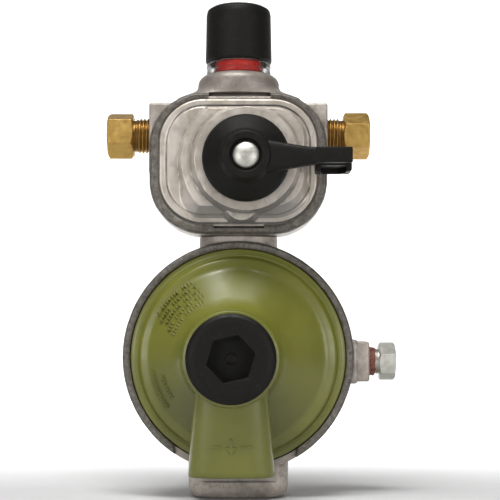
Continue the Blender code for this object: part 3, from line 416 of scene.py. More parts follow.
class Look:
    """A Principled material made of noise layers on the object's own coordinates, in metres."""

    def __init__(self, name, metallic=0.0, **sockets):
        self.material = bpy.data.materials.new(name)
        self.material.use_nodes = True
        self.tree = self.material.node_tree
        self.shader = self.tree.nodes["Principled BSDF"]
        self.shader.inputs["Metallic"].default_value = metallic
        for socket, value in sockets.items():
            label = socket.replace("_", " ").title().replace("Ior", "IOR")
            self.shader.inputs[label].default_value = value
        self.where = self.add("ShaderNodeTexCoord").outputs["Object"]
        self.colour = None
        self.normal = None

    def add(self, kind, inputs=None, **settings):
        """A new node; each input is a constant or the socket that feeds it."""
        node = self.tree.nodes.new(kind)
        for key, value in settings.items():
            setattr(node, key, value)
        for key, value in (inputs or {}).items():
            if isinstance(value, bpy.types.NodeSocket):
                self.tree.links.new(value, node.inputs[key])
            else:
                node.inputs[key].default_value = value
        return node

    def texture(self, kind, size, stretch, settings):
        """A pattern on the object's own coordinates, whose features are about size millimetres."""
        place = self.add("ShaderNodeMapping", {"Vector": self.where, "Scale": stretch})
        return self.add(kind, {"Vector": place.outputs[0], "Scale": 1000 / size, **settings})

    def grain(self, size, detail=3.0, roughness=0.7, stretch=(1, 1, 1), distortion=0.0):
        """Noise whose features are about size millimetres across; stretch thins them along an axis."""
        settings = {"Detail": detail, "Roughness": roughness, "Distortion": distortion}
        return self.texture("ShaderNodeTexNoise", size, stretch, settings).outputs["Fac"]

    def cells(self, size):
        """Distance to scattered points about size millimetres apart."""
        return self.texture("ShaderNodeTexVoronoi", size, (1, 1, 1), {}).outputs["Distance"]

    def between(self, source, low, high, start=0.0, end=1.0):
        """The source's stretch from low to high eased onto start to end."""
        settings = {0: source, 1: low, 2: high, 3: start, 4: end}
        return self.add("ShaderNodeMapRange", settings, interpolation_type="SMOOTHSTEP").outputs[0]

    def patches(self, size, low, high, *settings, **more):
        """Clouds of noise: 0 where it is below low, and 1 where it is above high."""
        return self.between(self.grain(size, *settings, **more), low, high)

    def reckon(self, operation, first, second):
        """Arithmetic on sockets or constants, with the result held from 0 to 1."""
        node = self.add("ShaderNodeMath", {0: first, 1: second}, operation=operation, use_clamp=True)
        return node.outputs[0]

    def vector(self, operation, *inputs):
        """Arithmetic on vectors."""
        return self.add("ShaderNodeVectorMath", dict(enumerate(inputs)), operation=operation)

    def worn_edges(self, radius):
        """1 on convex and concave edges within about radius millimetres, 0 on open surface."""
        round_off = self.add("ShaderNodeBevel", {"Radius": radius * MM}, samples=6)
        plain = self.add("ShaderNodeNewGeometry").outputs["Normal"]
        agreement = self.vector("DOT_PRODUCT", round_off.outputs[0], plain).outputs["Value"]
        return self.between(agreement, 0.98, 0.8)

    def occlusion_shade(self, reach, low=0.55, high=0.92):
        """1 in creases narrower than about reach millimetres, 0 on open surface: an ambient occlusion
        mask for painted shade.
        """
        settings = {"Distance": reach * MM}
        shade = self.add("ShaderNodeAmbientOcclusion", settings, samples=8, only_local=True)
        return self.between(shade.outputs["AO"], high, low)

    def downward_shade(self):
        """1 on faces that look down, 0 on level or rising ones: a mask for painted shade."""
        facing = self.add("ShaderNodeNewGeometry").outputs["Normal"]
        rise = self.add("ShaderNodeSeparateXYZ", {0: facing}).outputs["Z"]
        return self.between(rise, -0.15, -0.6)

    def blend(self, share, first, second):
        """Sets the colour: first where share is 0, second where it is 1."""
        settings = {0: share, 6: first, 7: second}
        node = self.add("ShaderNodeMix", settings, data_type="RGBA", blend_type="MIX")
        self.colour = node.outputs[2]

    def paint(self, share, first, second):
        """Lays down the ground colour, between two screen colours."""
        self.blend(share, srgb(*first), srgb(*second))

    def tint(self, share, strength, *shade):
        """Lays a screen colour over what is there already."""
        self.blend(self.reckon("MULTIPLY", share, strength), self.colour, srgb(*shade))

    def soften(self, radius):
        """Rounds sharp edges in the shading by radius millimetres."""
        self.normal = self.add("ShaderNodeBevel", {"Radius": radius * MM}, samples=6).outputs[0]

    def relief(self, height, depth, strength):
        """Adds a bump layer whose full height is depth millimetres."""
        settings = {"Height": height, "Distance": depth * MM, "Strength": strength}
        if self.normal:
            settings["Normal"] = self.normal
        self.normal = self.add("ShaderNodeBump", settings).outputs[0]

    def bumps(self, size, depth, strength, *settings):
        """Adds a bump layer of noise."""
        self.relief(self.grain(size, *settings), depth, strength)

    def tool_marks(self, size, direction, depth):
        """Adds parallel tool marks across an axis, uneven in depth."""
        stretch = {"X": (1, 0.04, 0.04), "Z": (0.04, 0.04, 1)}[direction]
        self.relief(self.grain(size, 4.0, 0.7, stretch), depth, 0.4)

    def uneven(self, size, low, high, spread=0.7):
        """A roughness that wanders between two values."""
        return self.between(self.grain(size, 4.0, spread), 0.3, 0.75, low, high)

    def finish(self, roughness):
        """Connects the layers to the shader; roughness is a socket or a constant."""
        self.tree.links.new(self.colour, self.shader.inputs["Base Color"])
        if isinstance(roughness, bpy.types.NodeSocket):
            self.tree.links.new(roughness, self.shader.inputs["Roughness"])
        else:
            self.shader.inputs["Roughness"].default_value = roughness
        self.tree.links.new(self.normal, self.shader.inputs["Normal"])
        return self.material


def cast_metal():
    """Die-cast zinc, warm grey and a little oxidised, with flow marks, bright rubbed edges, painted
    shade in its creases and a collar darkened as painted shade.
    """
    look = Look("cast_metal", metallic=0.4)
    height = look.add("ShaderNodeSeparateXYZ", {0: look.where}).outputs["Z"]
    collar = look.between(height, 0.0255, 0.0275)
    look.paint(look.patches(9.0, 0.35, 0.68, 4.0, 0.6), (156, 147, 138), (188, 180, 171))
    look.tint(look.patches(3.2, 0.48, 0.7, 6.0, 0.65, distortion=0.6), 0.5, 116, 104, 93)
    look.tint(look.patches(1.4, 0.54, 0.7, 4.0), 0.35, 106, 98, 90)
    # Painted shade: the collar above the rim is made darker to hold down the overhead lamp on it.
    look.tint(collar, 0.6, 112, 105, 98)
    look.tint(look.worn_edges(0.5), 0.5, 222, 218, 212)
    # Painted shade from ambient occlusion in creases.
    look.tint(look.occlusion_shade(1.6), 0.8, 62, 56, 50)
    look.soften(0.35)
    look.bumps(5.5, 0.3, 0.7, 2.0, 0.5)
    look.bumps(1.8, 0.08, 0.6, 3.0, 0.6)
    look.relief(look.between(look.cells(1.3), 0.06, 0.2), 0.06, 0.5)
    look.bumps(0.5, 0.03, 0.7)
    return look.finish(look.uneven(2.2, 0.4, 0.58))


def swaged_metal():
    """The rolled lips: darker and finely hammered over the covers, with rubbed bright spots and painted
    shade in their creases.
    """
    look = Look("swaged_metal", metallic=0.45)
    dimples = look.grain(1.7, 4.0, 0.65, distortion=0.6)
    look.paint(look.between(dimples, 0.3, 0.72), (82, 77, 71), (126, 121, 114))
    look.tint(look.patches(7.0, 0.35, 0.68, 3.0, 0.6), 0.35, 88, 81, 72)
    look.tint(look.patches(0.8, 0.58, 0.72), 0.35, 186, 182, 176)
    look.tint(look.worn_edges(0.4), 0.3, 190, 186, 180)
    # Painted shade from ambient occlusion in creases.
    look.tint(look.occlusion_shade(1.4), 0.8, 48, 44, 40)
    look.soften(0.3)
    look.relief(dimples, 0.2, 0.6)
    look.bumps(0.6, 0.05, 0.6)
    return look.finish(look.uneven(1.6, 0.42, 0.62))


def cover_metal():
    """The first-stage cover: light satin die casting, with painted shade in its steps and creases and
    where it looks down.
    """
    look = Look("cover_metal", metallic=0.45)
    look.paint(look.patches(11.0, 0.35, 0.66, 3.0, 0.55), (180, 171, 159), (208, 200, 190))
    look.tint(look.patches(3.5, 0.5, 0.72, 5.0, 0.65, (1, 1, 0.5), 0.5), 0.45, 146, 133, 120)
    look.tint(look.worn_edges(0.5), 0.45, 224, 221, 216)
    # Painted shade from ambient occlusion: broad in the cover's steps, tight in its creases.
    look.tint(look.occlusion_shade(7.0, 0.3, 0.9), 0.6, 98, 94, 92)
    look.tint(look.occlusion_shade(1.0), 0.8, 70, 64, 58)
    # Painted shade, in a cool bluish grey, on faces that look down.
    look.tint(look.downward_shade(), 0.7, 104, 105, 109)
    look.soften(0.3)
    look.bumps(4.5, 0.08, 0.4, 2.0, 0.5)
    look.bumps(0.45, 0.022, 0.6)
    return look.finish(look.uneven(2.6, 0.32, 0.48, 0.65))


def green_paint():
    """Semi-gloss olive enamel over a casting, with orange peel, a little grime and painted shade on
    faces that look down.
    """
    look = Look("green_paint", coat_weight=0.2, coat_roughness=0.2)
    look.paint(look.patches(16.0, 0.35, 0.65, 3.0, 0.5), (101, 103, 32), (110, 111, 40))
    look.tint(look.patches(2.4, 0.56, 0.78, 6.0), 0.2, 82, 80, 30)
    # Painted shade on faces that look down.
    look.tint(look.downward_shade(), 0.6, 72, 72, 24)
    look.tint(look.worn_edges(0.3), 0.3, 150, 148, 92)
    look.soften(0.5)
    look.bumps(1.1, 0.02, 0.4, 2.0, 0.5)
    look.bumps(6.0, 0.08, 0.3, 2.0, 0.5)
    return look.finish(look.uneven(3.0, 0.32, 0.44, 0.6))


def brass():
    """Turned brass bar, tarnished brown in the threads and near the axis, with fine tool marks."""
    look = Look("brass", metallic=1.0)
    axis = (1.0, -FLOW_DEPTH * MM, INLET_Z * MM)
    offset = look.vector("SUBTRACT", look.where, axis)
    across = look.vector("MULTIPLY", offset.outputs[0], (0.0, 1.0, 1.0))
    reach = look.vector("LENGTH", across.outputs[0]).outputs["Value"]
    look.paint(look.patches(4.0, 0.42, 0.72, 5.0, 0.65, distortion=0.4), (204, 168, 96), (180, 142, 78))
    look.tint(look.between(reach, PIPE_THREAD_RADIUS * MM * 1.04, 0.006), 0.85, 100, 68, 36)
    look.tint(look.patches(0.9, 0.62, 0.74, 4.0), 0.4, 128, 92, 50)
    look.tint(look.worn_edges(0.3), 0.5, 226, 196, 130)
    look.soften(0.22)
    look.tool_marks(0.5, "X", 0.012)
    look.bumps(0.6, 0.01, 0.4)
    return look.finish(look.uneven(1.8, 0.34, 0.5))


def black_plastic():
    """Moulded black plastic with a fine eroded texture, dust and scuffed edges."""
    look = Look("black_plastic", specular_ior_level=0.18)
    dust = look.reckon("MULTIPLY", look.patches(2.6, 0.5, 0.78, 6.0), 0.2)
    look.paint(dust, (18, 17, 14), (52, 50, 42))
    look.tint(look.worn_edges(0.35), 0.3, 74, 72, 64)
    look.soften(0.3)
    look.bumps(0.35, 0.02, 0.6)
    look.bumps(5.0, 0.06, 0.3, 2.0, 0.5)
    return look.finish(look.uneven(2.0, 0.44, 0.62))


def plated_steel(name, direction, low, high):
    """Bright zinc plate over turned or pressed steel, slightly yellowed."""
    look = Look(name, metallic=0.95)
    look.paint(look.patches(3.5, 0.35, 0.68, 4.0, 0.6), (186, 185, 176), (214, 212, 204))
    look.tint(look.patches(0.8, 0.6, 0.74, 5.0), 0.35, 160, 156, 142)
    look.soften(0.2)
    look.tool_marks(0.4, direction, 0.01)
    look.bumps(0.5, 0.01, 0.4)
    return look.finish(look.uneven(1.5, low, high))


def spring_steel():
    """Drawn wire: dark bright steel with die marks and an oil film."""
    look = Look("spring_steel", metallic=1.0)
    look.paint(look.patches(1.8, 0.35, 0.68, 4.0, 0.6), (136, 136, 136), (184, 183, 180))
    look.bumps(0.3, 0.01, 0.5)
    return look.finish(look.uneven(0.9, 0.24, 0.42))


def rubber():
    """Black nitrile rubber with a matt bloom."""
    look = Look("rubber")
    bloom = look.reckon("MULTIPLY", look.patches(1.6, 0.42, 0.75, 5.0, 0.65), 0.5)
    look.paint(bloom, (20, 20, 20), (58, 57, 54))
    look.bumps(0.3, 0.02, 0.6)
    return look.finish(look.uneven(0.9, 0.68, 0.88))


def moulded_plastic(name, dark, light, bump, low, high, waxiness=0.0):
    """A moulding with small shade changes and flow lines."""
    look = Look(name, subsurface_weight=waxiness)
    look.paint(look.patches(3.0, 0.35, 0.7, 4.0, 0.6), dark, light)
    look.bumps(bump, 0.012, 0.5)
    return look.finish(look.uneven(1.2, low, high))


def clear_plastic():
    """Clear moulding: thin in front, smoky towards its edges, with haze and fine scratches."""
    look = Look("clear_plastic", specular_ior_level=0.3)
    haze = look.patches(2.8, 0.4, 0.75, 5.0, 0.65)
    look.paint(haze, (76, 73, 70), (110, 106, 101))
    rim = look.add("ShaderNodeLayerWeight", {"Blend": 0.5}).outputs["Facing"]
    cover = look.between(rim, 0.2, 0.85, 0.05, 0.85)
    veil = look.reckon("ADD", cover, look.reckon("MULTIPLY", haze, 0.03))
    look.tree.links.new(veil, look.shader.inputs["Alpha"])
    look.bumps(0.6, 0.01, 0.4)
    return look.finish(look.uneven(0.7, 0.06, 0.2))


def sintered_bronze():
    """Fine bronze balls sintered together."""
    look = Look("sintered_bronze", metallic=0.9)
    balls = look.cells(0.35)
    look.paint(look.between(balls, 0.1, 0.6), (176, 128, 76), (88, 58, 32))
    look.relief(look.reckon("SUBTRACT", 1.0, balls), 0.08, 0.8)
    return look.finish(look.between(balls, 0.0, 0.6, 0.45, 0.7))


def sealant():
    """Dried red-brown thread sealant, uneven and matt."""
    look = Look("sealant")
    clots = look.patches(0.9, 0.4, 0.7, 5.0)
    look.paint(clots, (96, 44, 34), (150, 88, 72))
    look.bumps(0.7, 0.12, 0.8, 4.0)
    return look.finish(look.between(clots, 0.2, 0.8, 0.5, 0.8))


LOOKS = {
    "casting": cast_metal(),
    "swaged": swaged_metal(),
    "cover_metal": cover_metal(),
    "green_paint": green_paint(),
    "brass": brass(),
    "bronze": sintered_bronze(),
    "black_plastic": black_plastic(),
    "rubber": rubber(),
    "plated_steel": plated_steel("plated_steel", "X", 0.36, 0.5),
    "rivet": plated_steel("rivet_steel", "Z", 0.42, 0.56),
    "spring_steel": spring_steel(),
    "moulded_plastic": moulded_plastic(
        "moulded_plastic", (206, 200, 186), (228, 224, 212), 0.4, 0.38, 0.55, 0.05
    ),
    "clear_plastic": clear_plastic(),
    "red_plastic": moulded_plastic("red_plastic", (232, 44, 38), (248, 70, 58), 0.5, 0.26, 0.42),
    "green_plastic": moulded_plastic("green_plastic", (30, 132, 62), (52, 160, 82), 0.5, 0.26, 0.42),
    "sealant": sealant(),
}

SLOTS = {entry["node"]: entry["material_slot"] for entry in frame["record"]["subparts"]}


def wear(obj, *looks):
    """Gives a piece its materials in place of any that it has."""
    obj.data.materials.clear()
    for look in looks:
        obj.data.materials.append(LOOKS[look])


def settle(obj, slot, body, *nodes, look=None, sharp=0.6, ends=None):
    """Gives a finished piece its material and its body, and hides the CAD nodes that it stands for.

    With ends, body is a pair that goes unused: the piece's place is baked into its mesh and it joins no
    body.
    """
    if not any(obj.data.materials):
        wear(obj, look or slot)
    obj.data.shade_smooth()
    obj.data.set_sharp_from_angle(angle=sharp)
    if ends:
        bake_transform(obj)
    else:
        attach(obj, body)
    if nodes:
        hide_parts(*nodes)


def two_tone(obj, first, second, where):
    """Two materials on one casting: the second where the face's centre asks for it."""
    wear(obj, first, second)
    for face in obj.data.polygons:
        x, y, z = face.center / MM
        face.material_index = 1 if where(x, -y, z) else 0


# ---- first stage casting -----------------------------------------------------------------------


def rim_ring(inset, depth):
    """The casting's outline, pulled in by inset."""
    width, height = RIM_WIDTH - 2 * inset, RIM_TOP - RIM_BOTTOM - 2 * inset
    outline = rounded_rectangle(width, height, RIM_CORNER - inset, (RIM_TOP + RIM_BOTTOM) / 2)
    return [(a, depth, b) for a, b in outline]


def seat_ring(outset, depth):
    """The cover's outline, let out by outset."""
    width, height = COVER_WIDTH + 2 * outset, COVER_HEIGHT + 2 * outset
    return [(a, depth, b) for a, b in rounded_rectangle(width, height, COVER_CORNER + outset)]


def hammered(ring, amount, seed):
    """A lip's ring with the dents that rolling it over leaves."""
    dented = []
    for x, depth, z in ring:
        dent = amount * lumps(x, 0, z, 2.6, seed)
        side = amount * 0.7 * lumps(x, 9, z, 3.4, seed + 5)
        reach = hypot(x, z)
        dented.append((x * (1 + side / reach), depth + min(dent, 0), z * (1 + side / reach)))
    return dented


def flow_ring(half_width, half_depth, power, z, count=96):
    """A level section round the axis that the gas comes down."""
    return [(x, d, z) for x, d in superellipse(0, FLOW_DEPTH, half_width, half_depth, power, count)]


def upper_casting_rings():
    """The casting's outside from its back, over the rolled lip and down into its chamber."""
    outside = (
        # inset, depth, dents
        (3.0, RIM_BACK, 0), (1.2, RIM_BACK + 0.4, 0), (0.3, RIM_BACK + 1.3, 0), (0.0, RIM_BACK + 3.0, 0),
        (0.0, 20.0, 0), (0.0, 29.0, 0), (0.05, 30.6, 0.2), (0.2, 31.6, 0.3), (0.55, 32.4, 0.35),
        (0.95, 32.9, 0.3), (1.25, RIM_FRONT, 0.22),
    )
    seat = (
        (0.6, 32.95, 0.18), (0.1, 32.75, 0.08), (LIP_EDGE + 0.1, 32.4, 0), (LIP_EDGE, LIP_FLOOR, 0),
        (0.35, LIP_FLOOR, 0), (0.35, LEDGE, 0), (-3.0, LEDGE, 0), (-3.0, CHAMBER_FLOOR, 0),
    )
    rows = [(rim_ring, *row) for row in outside] + [(seat_ring, *row) for row in seat]
    return [hammered(ring(by, depth), dents, k) for k, (ring, by, depth, dents) in enumerate(rows, -5)]


def upper_casting():
    """First-stage casting: rolled rim, inlet block, collar, mounting pad, foot and bores."""
    body = loft("upper_casting", upper_casting_rings())
    half = BLOCK_HALF_WIDTH
    inlet_block = block("inlet_block", (-half, half), BLOCK_DEPTH, BLOCK_Z, 1.0, 4)
    collar_sections = (
        # z, half width, half depth
        (18.0, 25.0, 15.0), (26.6, 24.4, 15.0), (27.3, 22.6, 15.0), (27.9, 20.7, 15.0),
        (28.5, 18.9, 15.1), (29.1, 17.6, 15.3), (29.9, 16.6, 15.5), (31.0, 16.1, 15.8),
        (32.6, 15.95, 15.9), (33.7, 15.6, 15.6), (34.6, 14.9, 14.9), (35.3, 14.0, 14.0),
        (COLLAR_TOP, 13.0, 13.0),
    )
    collar = loft("collar", [flow_ring(a, b, 2.0, z) for z, a, b in collar_sections])
    pad = block("mounting_pad", (-15, 15), (0, RIM_BACK + 2), (-9, 9), 1.2, 4)
    foot_profile = [(0, STAGE_JOINT), (13.8, STAGE_JOINT, 0.6), (13.8, -18), (0, -18)]
    foot = lathe("foot", foot_profile, *FLOW_AXIS)
    join(body, inlet_block, collar, pad, foot)

    at = (FLOW_DEPTH, INLET_Z)
    tools = [
        block("crank_pocket", (-15, 15), (9.5, CHAMBER_FLOOR + 1), (6.5, 18.5)),
        cylinder("outlet_pocket", 4.5, 12, CHAMBER_FLOOR + 1, "FRONT", (0, -16.5)),
        cylinder("transfer_passage", 2.5, -24, -16, *FLOW_AXIS),
        cylinder("nipple_bore", 6.0, STAGE_JOINT - 1, -21.5, *FLOW_AXIS),
        cylinder("sense_passage", 2.3, 17, 29, *FLOW_AXIS),
        cylinder("lens_bore", 11.1, 27.6, COLLAR_TOP + 1, *FLOW_AXIS, 64),
        cylinder("stem_bore", 3.2, -21, 21, "RIGHT", at),
        block("bottom_gap", (-9.5, 9.9), (31.9, 34), (-25.8, -23.6)),
        block("bottom_slot", (-9.5, 9.9), (27, 33), (-25.8, -24.6)),
        block("top_gap", (-11.4, 12.5), (31.9, 34), (24.2, 27.1)),
        block("top_slot", (-11.4, 12.5), (26, 33), (24.6, 27.1)),
    ]
    spot_face = [(0, half - 0.35), (9.6, half - 0.35), (9.9, half + 1), (0, half + 1)]
    for direction, sign in (("LEFT", -1), ("RIGHT", 1)):
        core = sorted((sign * 18, sign * 29))
        tools += [
            cylinder("poppet_bore", 5.6, 20, 28.8, direction, at),
            cylinder("thread_bore", 7.3, 28.4, half + 1, direction, at, 64),
            lathe("spot_face", spot_face, direction, at),
            cylinder("pin_bore", 1.2, 2.5, 22, "UP", (sign * 11, 20)),
            block("core", core, (3, 8.6), (-1.0, 5.0), 0.9),
            block("upper_core", core, (3, 6.4), (17.5, 21.5), 0.9),
            cylinder("ejector_mark", 2.6, RIM_BACK - 1, RIM_BACK + 0.3, "FRONT", (sign * 21, -14)),
        ]
    cut(body, *tools)
    two_tone(body, "casting", "swaged", lambda x, depth, z: depth > 30.2 and z < 26.9)
    settle(body, "casting", "housing", "first_stage_body")


# ---- first stage cover -------------------------------------------------------------------------

COVER_COUNT = 288


def cover_ring(depth, inset=0.0, radius=99.0):
    """The cover's outline pulled in by inset, and held within a circle round the lever's axis."""
    ring = []
    width, height = COVER_WIDTH - 2 * inset, COVER_HEIGHT - 2 * inset
    for i in range(COVER_COUNT):
        angle = tau * i / COVER_COUNT
        reach = boxed_radius(angle, width, height, COVER_CORNER - inset, KNOB_X, KNOB_Z)
        reach = min(reach, radius)
        ring.append((KNOB_X + reach * cos(angle), depth, KNOB_Z + reach * sin(angle)))
    return ring


def within_box(x, z, inset, shift=0.0):
    """How far a point lies inside the cover's outline pulled in by inset and moved up by shift."""
    corner = COVER_CORNER - inset
    a = abs(x) - (COVER_WIDTH / 2 - inset - corner)
    b = abs(z - shift) - (COVER_HEIGHT / 2 - inset - corner)
    return corner - hypot(max(a, 0), max(b, 0)) - min(max(a, b), 0)


def cover_depth(x, z):
    """How far forward the cover's face stands: flat band, groove, plateau, boss and bulge."""
    reach = hypot(x - KNOB_X, z - KNOB_Z)
    inside = within_box(x, z, 0.0)
    boss_share = ramp(COVER_BOSS_FOOT - reach, 0.0, 1.5)
    above_bulge = ease(z, -21, -10)
    groove = 0.4 * exp(-(((inside - GROOVE_INSET) / 0.3) ** 2)) * above_bulge * (1 - boss_share)
    band = BAND_FRONT + 0.35 * ease(inside, GROOVE_INSET + 0.15, GROOVE_INSET + 0.65)
    plateau_edge = min(within_box(x, z, PLATEAU_INSET, 1.1), PLATEAU_REACH - reach)
    slope = 1.3 + 3.3 * ease(-z, 6, 17)
    plateau = band + 3.2 * ramp(plateau_edge, -slope, 0.0) + 0.25 * ease(plateau_edge, 0, 3)
    stepped = plateau + (COVER_BOSS_FRONT - plateau) * boss_share - groove
    within_bulge = BULGE_RADIUS - hypot(x - BULGE_X, min(z, BULGE_Z) - BULGE_Z)
    if z > KNOB_Z or within_bulge < 0:
        return stepped
    return max(stepped, 33.2 + 5.2 * ramp(within_bulge, 0.0, 1.6))


def upper_cover():
    """First-stage cover: a shell crimped under the rim, whose face follows cover_depth."""
    front, floor_depth, steps = COVER_BOSS_FRONT, 40.5, 44
    edge = ((30.2,), (LIP_FLOOR - 0.3,), (LIP_FLOOR - 0.3, 1.0), (32.7, 1.15), (33.0, 1.4))
    inside = (
        # depth, inset, greatest radius
        (front, 0, 6.0), (front - 0.4, 0, 5.6), (floor_depth, 0, 5.6), (floor_depth, 0, 3.4),
        (39.4, 0, 3.4), (39.4, 10.0, 15.4), (34.4, 9.6, 18.0), (32.0, 7.6, 22.0), (31.2, 5.4),
        (30.2, 4.8),
    )
    outer, inner = cover_ring(BAND_FRONT, 1.8), cover_ring(front, 0, 18.6)
    face = []
    for k in range(steps):
        ring = []
        for (x0, _, z0), (x1, _, z1) in zip(outer, inner):
            x, z = x0 + (x1 - x0) * k / steps, z0 + (z1 - z0) * k / steps
            ring.append((x, cover_depth(x, z), z))
        face.append(ring)
    rings = [cover_ring(*row) for row in edge] + face + [inner] + [cover_ring(*row) for row in inside]
    cover = loft("upper_cover", rings, closed=True)
    roughen(cover, 5.0, 0.08, 21, lambda x, depth, z: depth > 32.9)
    settle(cover, "cover_metal", "housing", "first_stage_cover", sharp=0.7)


# ---- changeover lever --------------------------------------------------------------------------


def lever_arm_rings():
    """Sections of the arm from inside the hub out to the paddle: low and wide, then narrow."""
    sections = (
        # reach, low z, high z, back depth, front depth
        (4.0, -7.6, 6.6, 45.0, 51.6), (8.0, -6.7, 5.9, 45.6, 52.0), (12.0, -5.7, 5.0, 46.2, 52.3),
        (17.0, -4.8, 4.1, 46.4, 52.5), (22.0, -3.9, 3.3, 46.2, 52.6), (26.5, -3.2, 2.9, 45.6, 52.6),
    )
    rings = []
    for reach, low, high, back, front in sections:
        z, depth = KNOB_Z + (low + high) / 2, (back + front) / 2
        section = superellipse(depth, z, (front - back) / 2, (high - low) / 2, 4.5, 40)
        rings.append([(KNOB_X + reach, a, b) for a, b in section])
    return rings


def changeover_lever():
    """The lever's hub, arm and paddle, and the bright spindle head that holds them."""
    back, front = LEVER_DEPTH
    profile = [
        (3.3, 51.2), (5.6, 51.2, 0.3), (6.1, 53.0, 0.4), (8.7, 53.0, 0.5), (9.5, 51.6, 0.8),
        (10.2, 50.2, 1.0), (15.6, 45.6, 0.8), (16.4, 44.3, 0.5), (16.4, 42.4, 0.3), (14.0, 42.4),
        (12.6, 44.4), (6.2, 46.2), (6.2, 42.6), (3.3, 42.6),
    ]
    knob = lathe("lever", profile, *KNOB_AXIS, 128)
    arm = loft("lever_arm", lever_arm_rings())
    low, high = KNOB_Z - 2.85, KNOB_Z + 2.85
    start, end = KNOB_X + 25.6, LEVER_X[1]
    outline = [
        (start, front - 0.1), (end - 0.5, front - 0.1), (end, front - 0.7), (end, 42.0),
        (end - 3.5, back), (start + 1.6, back), (start, 42.0),
    ]
    paddle = rounded(prism("paddle", outline, low, high, "PLAN"), 0.7, 4)
    well = [
        (start + 2.0, 49.6), (end - 2.0, 49.6), (end - 2.0, 42.4), (end - 4.6, back + 2.2),
        (start + 3.2, back + 2.2), (start + 2.0, 42.6),
    ]
    hollow = prism("paddle_well", well, low - 4, low - 0.6, "PLAN")
    tab = block("paddle_lip", (start + 0.2, end), (back + 0.4, 48.2), (low - 2.7, low + 1.2), 0.9, 4)
    lever = join(knob, arm, paddle, tab)
    disc = lathe("hub_recess", [(0, 51.2), (5.6, 51.2, 0.3), (6.1, 54.0), (0, 54.0)], *KNOB_AXIS)
    cut(lever, hollow, disc, cylinder("spindle_bore", 3.3, 40, 54, *KNOB_AXIS))
    settle(lever, "black_plastic", "changeover", "changeover_lever", sharp=0.7)

    head = [
        (0, 53.6), (1.4, 53.55), (2.8, 53.25), (3.9, 52.8), (4.6, 52.3), (4.9, 51.9), (4.9, 51.6),
        (4.7, 51.45), (3.0, 51.45), (3.0, 36.9, 0.3), (0, 36.9),
    ]
    spindle = lathe("spindle", head, *KNOB_AXIS, 64)
    settle(spindle, "plated_steel", "changeover", "knob_spindle", look="rivet", sharp=0.9)


# ---- inlet fittings ----------------------------------------------------------------------------


def hex_head(start, end, across_flats, turn, chamfer, slope=0.55):
    """A shape function for a hexagon whose corners are turned off at both ends."""
    corner = across_flats / sqrt(3)

    def shape(radius, height, angle):
        if radius < across_flats / 2 - 2:
            return radius, height
        nearest = min(height - start, end - height)
        limit = corner - chamfer + nearest / slope
        return min(radius, hex_radius(across_flats, angle, turn), limit), height

    return shape


def hexagon_profile(corner, chamfer, start, end, first, last, fine, coarse):
    """A hexagon's outline, closely divided over its first and last stretches, where corners end."""
    return [
        (corner - chamfer, start),
        *stations(corner, start + 0.05, start + first, fine),
        *stations(corner, start + first + 0.3, end - last - 0.3, coarse),
        *stations(corner, end - last, end - 0.05, fine),
    ]


def inlet_fitting(side, direction, mirror):
    """Brass fitting: tapered pipe thread, hexagon and an inverted flare socket."""
    low, end = FITTING_X
    root, bore_radius = PIPE_THREAD_RADIUS - 0.75, 4.85
    start, chamfer = FITTING_HEX_START, 1.35
    turn = pi / 2 + FITTING_TURN * mirror
    thread = threaded(root, 0.75, PIPE_PITCH, low, start - 0.9, 0.9, mirror)
    bore = threaded(4.6, 0.35, 1.2, end - 5.6, end - 0.6, 0.5, mirror)
    head = hex_head(start, end, FITTING_HEX, turn, chamfer)

    def shape(radius, height, angle):
        if radius == bore_radius:
            return bore(radius, height, angle)
        if height < start:
            return thread(radius, height, angle) if radius > 4 else (radius, height)
        return head(radius, height, angle)

    profile = [
        (3.4, low),
        *stations(root, low, start - 0.9, 0.13),
        (root - 0.05, start),
        *hexagon_profile(FITTING_HEX / sqrt(3), chamfer, start, end, 1.3, 1.3, 0.14, 1.2),
        (6.6, end), (5.5, end),
        *stations(bore_radius, end - 0.6, end - 5.6, 0.25),
        (4.5, end - 6.2), (2.2, end - 4.6), (1.7, end - 4.8), (1.7, end - 8.6), (3.4, end - 9.6),
    ]
    name, at = f"inlet_connector_{side}", (FLOW_DEPTH, INLET_Z)
    fitting = lathe(name, profile, direction, at, 120, turn, shape)
    settle(fitting, "brass", "housing", f"inlet_fitting_{side}", sharp=0.42)


# ---- sight glass -------------------------------------------------------------------------------


